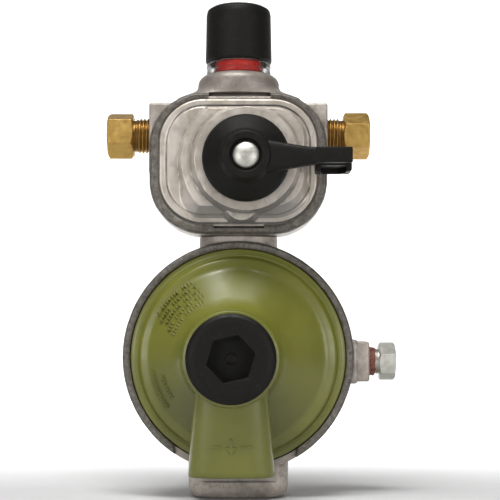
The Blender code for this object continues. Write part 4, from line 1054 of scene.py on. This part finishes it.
def sight_glass():
    """The clear lens, its black cap and the indicator's two coloured bands."""
    radius, seat = LENS_X[1], COLLAR_TOP + 0.3
    low, top = LENS_Z
    cap_low, cap_top = CAP_Z
    lens = [
        (0, top), (8, top, 1.0), (11.2, top - 2, 1.0), (11.3, cap_low - 0.3),
        (radius - 0.1, cap_low - 0.3, 0.2), (radius, cap_low - 0.9, 0.2), (radius, 38.7, 0.15),
        (radius - 0.45, 38.3, 0.15), (radius - 0.45, 38.0, 0.15), (radius, 37.6, 0.15),
        (radius, seat, 0.2), (10.7, seat, 0.2), (10.7, low), (9.9, low), (9.9, top - 3, 1.0),
        (7, top - 1.6, 1.0), (0, top - 1.6),
    ]
    glass = lathe("sight_lens", lens, *FLOW_AXIS, 128)
    settle(glass, "clear_plastic", "housing", "indicator_lens", sharp=0.9)

    outer = CAP_X[1]
    cap = [
        (0, cap_top), (outer - 2.8, cap_top, 1.0), (outer - 0.75, cap_top - 1.2, 1.4),
        (outer - 0.35, cap_top - 3.2, 1.5), (outer, cap_low + 0.9, 0.3), (outer - 0.4, cap_low, 0.3),
        (11.85, cap_low, 0.2), (11.7, cap_top - 4.0, 0.5), (0, cap_top - 4.0),
    ]
    shell = lathe("sight_cap", filleted(cap, 6), *FLOW_AXIS, 128)
    settle(shell, "black_plastic", "housing", "indicator_cap", sharp=0.9)

    for colour in ("red", "green"):
        node = f"indicator_{colour}_band"
        band_x, _, (band_low, band_high) = extent(node)
        outside = band_x[1]
        band = [(3.7, band_low), (outside, band_low, 0.4)]
        for share in (0.3, 0.62):
            level = band_low + (band_high - band_low) * share
            for step, rise in ((0, -0.3), (0.3, 0), (0, 0.3)):
                band.append((outside - step, level + rise, 0.1))
        band += [(outside, band_high, 0.4), (3.7, band_high)]
        sleeve = lathe(f"{colour}_flag", band, *FLOW_AXIS)
        settle(sleeve, f"{colour}_plastic", "indicator", node, sharp=0.9)


# ---- second stage casting ----------------------------------------------------------------------


def ring_dents(radius, height, angle):
    """Dents and hammer marks on the rolled lip of the lower casting."""
    if height < LIP_START or radius < BONNET_RADIUS - 1:
        return radius, height
    a, b = radius * cos(angle), radius * sin(angle)
    share = min(height - LIP_START, 1)
    along = 3.4 * angle * radius
    inward = 0.22 * share * lumps(a, b, 0, 3.6, 11)
    down = 0.3 * share * min(lumps(a, b, 4, 2.8, 17), 0) + 0.06 * lumps(along, radius * 6, 0, 6.0)
    return min(radius + inward, RING_RADIUS), min(height + down, RING_FRONT)


def port_block(name, face, behind, ahead, beside, radius):
    """A block round the gauge port, from inside the bowl out to a face."""
    half = PORT_HALF_HEIGHT
    depth = (FLOW_DEPTH - half - behind, FLOW_DEPTH + half + ahead)
    return block(name, (34, face), depth, (PORT_Z - half - beside, PORT_Z + half + beside), radius, 4)


def lower_outside():
    """The lower casting before it is hollowed: bowl, rolled lip, neck, outlet, port and ribs."""
    shell = [
        (0, BOWL_BACK), (27, BOWL_BACK, 2.0), (33.5, 6.4, 3.0), (BOWL_RADIUS - 1, 13, 3.0),
        (BOWL_RADIUS, RING_BACK - 1.2, 0.6), (RING_RADIUS - 0.4, RING_BACK, 0.4),
        (RING_RADIUS, RING_BACK + 0.8, 0.4), (RING_RADIUS, LIP_START), (RING_RADIUS, 29.3),
        (RING_RADIUS - 0.25, 29.9), (RING_RADIUS - 0.8, RING_FRONT), (RING_RADIUS - 1.5, RING_FRONT),
        (RING_RADIUS - 2.1, RING_FRONT - 0.1), (LIP_RADIUS, RING_FRONT - 0.6), (0, RING_FRONT - 0.6),
    ]
    body = lathe("lower_casting", shell, *BOWL_AXIS, 240, 0, ring_dents)
    neck_rings = [flow_ring(NECK_HALF_WIDTH, NECK_HALF_DEPTH, 2.4, z) for z in (-52, NECK_TOP)]
    outlet_rings = []
    for rise, back in ((0, 3.4), (0.25, 2.3), (0.9, 1.25), (2.0, 0.5), (3.6, 0.1), (5, 0), (32, 0)):
        half_width, half_depth = OUTLET_HALF_WIDTH - back, OUTLET_HALF_DEPTH - back * 0.5
        outlet_rings.append(flow_ring(half_width, half_depth, 4.6, OUTLET_FACE + rise, 128))
    pieces = [
        loft("neck", neck_rings),
        loft("outlet_boss", outlet_rings),
        port_block("port_boss", PORT_FACE, 0, 0, 0, 1.0),
        port_block("port_root", 46.2, 0.9, 0.6, 0.8, 1.4),
    ]
    rib_outline = [(3.0, -122), (16, -122), (16, -100), (BOWL_BACK + 1, -100)]
    for x in (-16.5, 16.5):
        pieces.append(rounded(prism("rib", rib_outline, x - 1.4, x + 1.4, "SIDE"), 0.5))
    return join(body, *pieces)


def lower_casting():
    """Second-stage casting: hollowed and bored, with a ragged gap in its rolled lip."""
    body, seat = lower_outside(), BONNET_RADIUS + 0.45
    cavity = [
        (0, BOWL_FLOOR), (31, BOWL_FLOOR, 2.0), (35, 13, 2.0), (36, 26.0), (seat, 26.0),
        (seat, RING_FRONT - 1.6), (LIP_RADIUS - 0.02, RING_FRONT - 1.6),
        (LIP_RADIUS - 0.02, RING_FRONT + 2), (0, RING_FRONT + 2),
    ]
    cut(body, lathe("bowl", cavity, *BOWL_AXIS, 240))
    left, right = -24.6, 22.4
    ragged = [
        (left - 0.9, -105), (left + 0.6, -111.6), (left - 0.5, -113.2), (left + 0.2, -122),
        (right, -122), (right + 0.5, -114.0), (right - 0.4, -112.2), (right + 1.0, -105),
    ]
    cut(body, prism("lip_gap", ragged, RING_FRONT - 2.2, RING_FRONT + 3, "FRONT"))

    nozzle = cylinder("nozzle_boss", 7.4, -52, -36, *FLOW_AXIS)
    ears = [
        block("ear", sorted((sign * 4.6, sign * 6.8)), (BOWL_FLOOR - 1, 14.6), (-59, -54), 0.4)
        for sign in (-1, 1)
    ]
    join(body, nozzle, *ears)

    groove_top, groove_floor = NECK_TOP + 1, NECK_TOP - 1.5
    groove = [(7.2, groove_top), (10.8, groove_top), (10.8, groove_floor), (7.2, groove_floor)]
    thread_end, thread_depth = -112.0, 0.55
    pipe = [
        (0, OUTLET_FACE - 1), (OUTLET_BORE + 1.6, OUTLET_FACE - 1),
        (OUTLET_BORE + 0.6, OUTLET_FACE + 0.4),
        *stations(OUTLET_BORE, OUTLET_FACE + 0.6, thread_end, 0.14),
        (OUTLET_BORE, -107.5), (0, -107.5),
    ]

    def tapped(radius, height, angle):
        if radius == OUTLET_BORE and height <= thread_end:
            return radius + thread_depth * wave(height / PIPE_PITCH - angle / tau), height
        return radius, height

    cut(
        body,
        cylinder("nipple_seat", 6.0, -44.9, NECK_TOP + 1, *FLOW_AXIS),
        cylinder("plunger_guide", 3.8, -53, -44, *FLOW_AXIS),
        block("guide_window", (-3, 3), (FLOW_DEPTH, 26), (-51, -46.6)),
        cylinder("fulcrum_bore", 1.2, -9, 9, "RIGHT", (12.0, -56.5), 24),
        lathe("gasket_groove", groove, *FLOW_AXIS, 64),
        lathe("pipe_bore", pipe, *FLOW_AXIS, 96, 0, tapped),
        cylinder("port_bore", PORT_THREAD_RADIUS + 0.4, 42, PORT_FACE + 1, *PORT_AXIS),
        cylinder("port_passage", 2.2, 33, 43, *PORT_AXIS, 24),
    )

    def rolled(x, depth, z):
        reach = hypot(x, z - STAGE2_Z)
        beside_boss = z > STAGE2_Z - 41 or abs(x) > OUTLET_HALF_WIDTH + 1
        return depth > 24.6 and BONNET_RADIUS - 1 < reach < RING_RADIUS + 0.1 and beside_boss

    two_tone(body, "casting", "swaged", rolled)
    settle(body, "casting", "housing", "second_stage_body")


# ---- second stage bonnet -----------------------------------------------------------------------

BONNET_COUNT = 200
FLANGE_INSIDE, AXIS_SHIFT_OVER = 37.0, 15.0
CONE_FOOT_RADIUS, CONE_FOOT, CONE_TOP_RADIUS, CONE_TOP = 33.0, 32.2, 20.6, 42.6
VENT_POWER = 3.2


def bonnet_ring(radius, depth):
    """A circle that moves from the ring's axis at the flange to the tower's axis inside the cone."""
    share = ramp(FLANGE_INSIDE - radius, 0, AXIS_SHIFT_OVER)
    x, z = TOWER_X * share, STAGE2_Z + (TOWER_Z - STAGE2_Z) * share
    turns = (tau * i / BONNET_COUNT for i in range(BONNET_COUNT))
    return [(x + radius * cos(t), depth, z + radius * sin(t)) for t in turns]


def cone_depth(radius):
    """How far forward the cone's face stands at a distance from the tower's axis."""
    run, rise = CONE_FOOT_RADIUS - CONE_TOP_RADIUS, CONE_TOP - CONE_FOOT
    return CONE_FOOT + (CONE_FOOT_RADIUS - radius) * rise / run


def vent_ring(half_width, back, front, z, count=64):
    """A vent section: a flat back and a full, rounded front."""
    middle = (back + front) / 2 + 1
    ring = [(TOWER_X - half_width, back, z), (TOWER_X + half_width, back, z)]
    for i in range(count + 1):
        t = pi * i / count
        depth = middle + (front - middle) * squared(sin(t), VENT_POWER)
        x = TOWER_X + half_width * squared(cos(t), VENT_POWER)
        ring.append((x, min(depth, BONNET_DEPTH[1]), z))
    return ring


def raised_marks():
    """Rows of short raised strokes on the cone, like cast lettering but with no letters."""
    marks = []
    for row in range(6):
        radius = 23.6 + row * 2.2
        first, last = radians(114 + row * 1.2), radians(163 - row * 2.5)
        spacing = 1.3 / radius
        for k in range(int((last - first) / spacing)):
            if (k * 7 + row * 3) % 8 == 0:
                continue
            angle = first + k * spacing
            tall = 0.74 if (k * 5 + row) % 4 else 0.5
            marks.append(cone_stroke(angle, radius - tall, radius + tall, 0.24))
            if (k + row) % 3 == 0:
                marks.append(cone_stroke(angle + 0.5 / radius, radius - 0.2, radius + 0.2, 0.42))
    for radius, first, count in ((30.8, 190, 13), (27.2, 195, 9)):
        for k in range(count):
            angle = radians(first + k * 2.3)
            tall = 0.8 if k % 3 else 0.55
            marks.append(cone_stroke(angle, radius - tall, radius + tall, 0.25))
    return marks


def cone_stroke(angle, inner, outer, half_width):
    """One raised stroke along the cone's slope, with soft shoulders."""
    rings = []
    for radius, shrink in ((inner, 0.6), (inner + 0.2, 1.0), (outer - 0.2, 1.0), (outer, 0.6)):
        ring = []
        face = cone_depth(radius)
        for across, lift in ((-1, -0.4), (1, -0.4), (1, 0.05), (0.5, 0.26), (-0.5, 0.26), (-1, 0.05)):
            side = half_width * across * shrink
            a = radius * cos(angle) - side * sin(angle)
            b = radius * sin(angle) + side * cos(angle)
            ring.append((TOWER_X + a, face + lift * shrink, TOWER_Z + b))
        rings.append(ring)
    return loft("stroke", rings)


def vent_marks():
    """A raised arrow that points down the vent, with one plain stroke on each side."""
    x, z, face = TOWER_X, -106.6, 53.35
    arrow = [
        (x - 0.5, z + 3.0), (x - 0.5, z - 0.1), (x - 2.1, z - 0.1), (x, z - 2.6), (x + 2.1, z - 0.1),
        (x + 0.5, z - 0.1), (x + 0.5, z + 3.0),
    ]
    marks = [rounded(prism("arrow", arrow, face - 1.2, face + 0.55, "FRONT"), 0.14, 2)]
    for side in (-5.6, 5.6):
        edges = (x + side - 2.2, x + side + 2.2)
        stroke = block("stroke", edges, (face - 1.4, face + 0.4), (z - 0.4, z + 0.4))
        marks.append(rounded(stroke, 0.16, 2))
    return marks


def lower_bonnet():
    """The green bonnet: flange, cone, tower and vent in one, with raised marks."""
    back, front = 27.4, RING_FRONT - 1.2
    outside = (
        # radius, depth
        (BONNET_RADIUS - 0.2, back), (BONNET_RADIUS, back + 0.3), (BONNET_RADIUS, front - 0.3),
        (BONNET_RADIUS - 0.3, front), (39.9, front), (39.4, front + 0.25), (38.9, front + 0.45),
        (38.5, front + 0.3), (38.2, front + 0.35), (37.6, 30.6), (37.1, 31.2), (36.5, 31.5),
        (34.6, 31.65), (33.8, 31.85), (33.0, 32.3), (32.2, 32.95), (30.0, cone_depth(30.0)),
        (26.0, cone_depth(26.0)), (22.6, cone_depth(22.6)), (21.2, 42.2), (20.2, 43.4), (19.3, 44.7),
        (18.6, 46.2), (18.1, 48.2), (TOWER_RADIUS + 0.2, 53.0), (TOWER_RADIUS, 57.6),
        (TOWER_RADIUS - 0.3, 58.3), (TOWER_RADIUS - 0.8, TOWER_FRONT),
    )
    bore = (
        (36.2, back - 1), (31.5, 30.4), (19.0, 40.4), (14.6, 42.6), (TOWER_BORE, 42.8),
        (TOWER_BORE, TOWER_FRONT + 1),
    )
    vent = (
        # half width, back, front, z
        (13.4, 34, 54.6, VENT_TOP), (13.8, 33, 54.4, -90), (14.5, 31.6, 54.0, -98),
        (15.3, 30.9, 53.2, -108), (15.8, 30.8, 52.6, -115.5), (15.9, 30.8, 52.5, VENT_MOUTH + 0.5),
        (15.6, 31.1, 52.1, VENT_MOUTH),
    )
    hollow = ((11.4, 34, 50.0, -92), (13.2, 33.2, 50.0, -108), (13.6, 33.2, 49.8, VENT_MOUTH - 1))
    bonnet = loft("lower_bonnet", [bonnet_ring(*row) for row in outside])
    join(bonnet, loft("vent", [vent_ring(*row) for row in vent]))
    bonnet_bore = loft("bonnet_bore", [bonnet_ring(*row) for row in bore])
    cut(bonnet, bonnet_bore, loft("vent_hollow", [vent_ring(*row) for row in hollow]))
    bonnet = gathered("lower_bonnet", [bonnet, *raised_marks(), *vent_marks()])
    settle(bonnet, "green_paint", "housing", "second_stage_bonnet", sharp=0.7)


def closing_cap():
    """The tower's black cap, with a hexagon socket in front and a threaded plug behind."""
    (plug_back, front), floor_depth, turn = CLOSING_DEPTH, 55.5, pi / 2 - 0.30
    radius, back = CLOSING_X[1] - TOWER_X, TOWER_FRONT + 0.9
    plug_root, socket_radius = 11.0, 8.0
    profile = [
        (0, front), (radius - 3.2, front, 0.5), (radius - 1.3, front - 0.35, 0.8),
        (radius, front - 1.3, 0.8), (radius, back, 0.3), (11.6, back),
        *stations(plug_root, back - 0.8, plug_back + 0.4, 0.14),
        (10.4, plug_back), (0, plug_back),
    ]
    thread = threaded(plug_root, 0.6, 1.5, plug_back + 0.4, back - 0.8, 0.6)

    def shape(r, height, angle):
        return thread(r, height, angle) if r == plug_root else (r, height)

    def hexagonal(r, height, angle):
        return hex_radius(15.3, angle, turn) + r - socket_radius, height

    cap = lathe("tower_cap", profile, *TOWER_AXIS, 144, 0, shape)
    hole = [
        (0, floor_depth), (socket_radius, floor_depth), (socket_radius, front - 0.5),
        (socket_radius + 0.5, front + 0.5), (0, front + 0.5),
    ]
    dimple = [(0, 54.9), (0.9, 54.92), (1.6, 55.05), (2.1, 55.3), (2.5, 55.7), (2.5, 56), (0, 56)]
    socket = lathe("socket", hole, *TOWER_AXIS, 144, turn, hexagonal)
    cut(cap, socket, lathe("dimple", dimple, *TOWER_AXIS, 48))
    settle(cap, "black_plastic", "closing_cap", "closing_cap", sharp=0.6)


def vent_screen():
    """Woven wire across the vent."""
    (left, right), (back, front), (bottom, top) = extent("vent_screen")
    z, wire, pitch = (bottom + top) / 2, 0.16, 1.05
    pieces = []

    def reach(depth):
        """Half the screen's width at a depth."""
        share = ramp(depth, (back + front) / 2 + 1, front)
        return (right - left) / 2 * (1 - share**VENT_POWER) ** (1 / VENT_POWER) - 0.2

    def strand(points):
        rings = []
        for i, point in enumerate(points):
            before, after = points[max(i - 1, 0)], points[min(i + 1, len(points) - 1)]
            heading = (Vector(after) - Vector(before)).normalized()
            side = heading.cross(Vector((0, 0, 1))).normalized()
            rise = side.cross(heading)
            ring = []
            for k in range(6):
                offset = side * (wire * cos(tau * k / 6)) + rise * (wire * sin(tau * k / 6))
                ring.append(tuple(Vector(point) + offset))
            rings.append(ring)
        pieces.append(loft("strand", rings))

    for row in range(1, int((front - back) / pitch)):
        depth = back + row * pitch
        half = reach(depth)
        count = max(int(half / pitch * 4), 4)
        places = [TOWER_X - half + 2 * half * i / count for i in range(count + 1)]
        strand([(x, depth, z + wire * cos(pi * ((x - left) / pitch + row))) for x in places])
    for column in range(1, int((right - left) / pitch)):
        x = left + column * pitch
        places = [depth for _, depth in stations(0, back + 0.3, front - 0.3, pitch / 4)]
        places = [depth for depth in places if abs(x - TOWER_X) < reach(depth)]
        if len(places) > 3:
            lifts = [-wire * cos(pi * ((depth - back) / pitch + column)) for depth in places]
            strand([(x, depth, z + lift) for depth, lift in zip(places, lifts)])
    settle(gathered("wire_screen", pieces), "spring_steel", "housing", "vent_screen", sharp=1.5)


def gauge_plug():
    """Hexagon plug with its thread sealed into the gauge port."""
    low, end = PLUG_X
    start, across_flats, chamfer = 54.6, 12.8, 1.1
    root, turn = PORT_THREAD_RADIUS - 0.5, pi / 2 - radians(8)
    thread = threaded(root, 0.5, 0.94, low, start - 0.4, 0.6)
    head = hex_head(start, end, across_flats, turn, chamfer, 0.5)

    def shape(radius, height, angle):
        return thread(radius, height, angle) if height < start else head(radius, height, angle)

    profile = [
        (0, low),
        *stations(root, low, start - 0.4, 0.12),
        (root, start),
        *hexagon_profile(across_flats / sqrt(3), chamfer, start, end, 0.9, 1.1, 0.12, 0.8),
        (4.9, end, 0.2), (4.5, end - 0.25), (0, end - 0.25),
    ]
    plug = lathe("port_plug", profile, *PORT_AXIS, 120, turn, shape)
    settle(plug, "plated_steel", "housing", "gauge_port_plug", sharp=0.42)

    def clotted(radius, height, angle):
        lump = 0.3 * lumps(height * 2, radius * cos(angle), radius * sin(angle), 1.3, 3)
        shift = 0.5 * lumps(0, 9 * cos(angle), 9 * sin(angle), 5.0, 8) * (height > PORT_FACE + 0.5)
        return max(radius + lump, root + 0.1), height + shift

    face = PORT_FACE + 0.05
    coat = [
        (root + 0.1, face - 0.7), (PORT_THREAD_RADIUS + 0.15, face - 0.7),
        *stations(PORT_THREAD_RADIUS + 0.3, face, face + 2.1, 0.2),
        (root + 0.25, face + 2.5), (root + 0.1, face + 2.5),
    ]
    dope = lathe("thread_sealant", coat, *PORT_AXIS, 96, 0, clotted)
    settle(dope, "rubber", "housing", look="sealant", sharp=1.2)


# ---- springs and the upper diaphragm -----------------------------------------------------------


def coil(name, node, radius, wire, turns, direction, at, span, bodies):
    """The stretch of a compression spring's wire between two shares of its height."""
    low, high = extent(node)[{"FRONT": 1, "UP": 2}[direction]]
    per_turn = 40
    count = turns * per_turn
    rings = []
    for i in range(round(span[0] * count), round(span[1] * count) + 1):
        angle = tau * i / per_turn
        middle = low + wire / 2 + (high - low - wire) * i / count
        ring = []
        for k in range(12):
            t = tau * k / 12
            reach, height = radius + wire / 2 * cos(t), middle + wire / 2 * sin(t)
            ring.append(spot(direction, at, reach * cos(angle), reach * sin(angle), height))
        rings.append(ring)
    ends = [spot(direction, at, 0, 0, low + (high - low) * share) for share in span]
    settle(loft(name, rings), "spring_steel", bodies, node, sharp=1.2, ends=ends)


def springs():
    """Springs between the bodies they push apart, built at rest and baked in place."""
    stem, plate, whole = "relief_stem", "second_stage_plate", (0, 1)
    sight, upper = ("indicator", "housing"), ("first_stage_plate", "housing")
    coil("sight_spring", "indicator_spring", 5.4, 0.8, 3, *FLOW_AXIS, whole, sight)
    coil("upper_spring", "first_stage_spring", 6.9, 1.1, 2, *KNOB_AXIS, whole, upper)
    coil("relief_coil", "relief_spring", 3.6, 0.8, 3, *TOWER_AXIS, whole, (plate, stem))
    for part, span, bodies in (
        ("back", (0, 0.25), (plate, stem)),
        ("middle", (0.25, 0.75), (stem, "housing")),
        ("front", (0.75, 1), ("housing", "adjuster_thread")),
    ):
        coil(f"main_spring_{part}", "main_spring", 9.6, 1.5, 4, *TOWER_AXIS, span, bodies)


def upper_diaphragm():
    """The membrane's clamped frame, and its middle that goes with the plate."""
    _, (back, front), _ = extent("first_stage_diaphragm")
    (plate_low, plate_high), _, _ = extent("first_stage_plate")
    radius, inset = (plate_high - plate_low) / 2 + 0.6, 0.7
    hole = radius + 0.25
    rows = ((back, inset), (front, inset), (front, inset, hole), (back, inset, hole))
    clamped = loft("diaphragm_frame", [cover_ring(*row) for row in rows], closed=True)
    settle(clamped, "rubber", "housing", "first_stage_diaphragm")
    profile = [(3.4, back), (radius, back), (radius, front), (3.4, front)]
    middle = lathe("diaphragm_middle", profile, *KNOB_AXIS)
    settle(middle, "rubber", "first_stage_plate", "first_stage_diaphragm")


def carried_over_nodes():
    """Gives every CAD node that still shows the finish of its own kind of material."""
    for name, obj in frame["nodes"].items():
        wear(obj, SLOTS[name])


# ---- stage, light and camera -------------------------------------------------------------------


def stage():
    """A pale floor under the outlet that sweeps up behind the object."""
    level = OUTLET_FACE - 0.4
    reach, bend = 900.0, 420.0
    outline = [(-2200.0, level)]
    for k in range(17):
        t = pi / 2 * k / 16
        outline.append((reach + bend * sin(t), level + bend * (1 - cos(t))))
    outline.append((reach + bend, 1500.0))
    points, faces = [], []
    for behind, z in outline:
        points += [(-2500.0, -behind, z), (2500.0, -behind, z)]
    for k in range(len(outline) - 1):
        faces.append((2 * k, 2 * k + 1, 2 * k + 3, 2 * k + 2))
    floor_piece = solid("floor", points, faces)
    floor_piece.data.shade_smooth()
    look = Look("floor_paper")
    look.blend(look.patches(60.0, 0.3, 0.7, 4.0, 0.6), (0.64, 0.64, 0.64, 1), (0.66, 0.66, 0.66, 1))
    look.bumps(1.2, 0.05, 0.2, 3.0, 0.6)
    floor_piece.data.materials.append(look.finish(0.85))


def area_light(name, place, aim, size, watts):
    """A rectangular lamp that faces its aim; places and sizes are in metres."""
    light = bpy.data.lights.new(name, "AREA")
    light.shape = "RECTANGLE"
    light.size, light.size_y = size
    light.energy = watts
    obj = placed(name, light)
    obj.location = place
    obj.rotation_euler = (Vector(aim) - Vector(place)).to_track_quat("-Z", "Y").to_euler()


def lighting():
    """A dim white surround and five lamps."""
    world = bpy.data.worlds.new("studio")
    bpy.context.scene.world = world
    world.use_nodes = True
    background = world.node_tree.nodes["Background"]
    background.inputs["Color"].default_value = (1, 1, 1, 1)
    background.inputs["Strength"].default_value = 0.16
    middle = (0, -0.02, -0.04)
    area_light("overhead", (-0.05, -0.31, 0.66), (0, -0.05, -0.04), (0.5, 0.22), 6.4)
    area_light("upper_front", (-0.25, -0.7, 0.6), middle, (0.5, 0.5), 0.6)
    area_light("left_box", (-0.55, -0.78, -0.03), middle, (0.4, 0.3), 2.1)
    area_light("right_box", (0.55, -0.78, -0.05), middle, (0.4, 0.3), 2.4)
    area_light("backdrop_wash", (0.0, 0.3, 0.3), (0, 1.3, -0.4), (1.6, 0.3), 24)


def camera():
    """A long lens near the height of the lower stage, tilted a little up."""
    data = bpy.data.cameras.new("camera")
    data.lens = 89.3
    data.sensor_width = 36
    data.clip_start = 0.01
    obj = placed("camera", data)
    obj.location = (0.0045, -0.503, -0.0637)
    obj.rotation_euler = (radians(93.6), 0, 0)
    bpy.context.scene.camera = obj


# ---- the whole object --------------------------------------------------------------------------

carried_over_nodes()
upper_casting()
upper_cover()
changeover_lever()
inlet_fitting("left", "LEFT", -1)
inlet_fitting("right", "RIGHT", 1)
sight_glass()
lower_casting()
lower_bonnet()
closing_cap()
vent_screen()
gauge_plug()
springs()
upper_diaphragm()
stage()
lighting()
camera()
bpy.context.scene.view_settings.view_transform = "Standard"
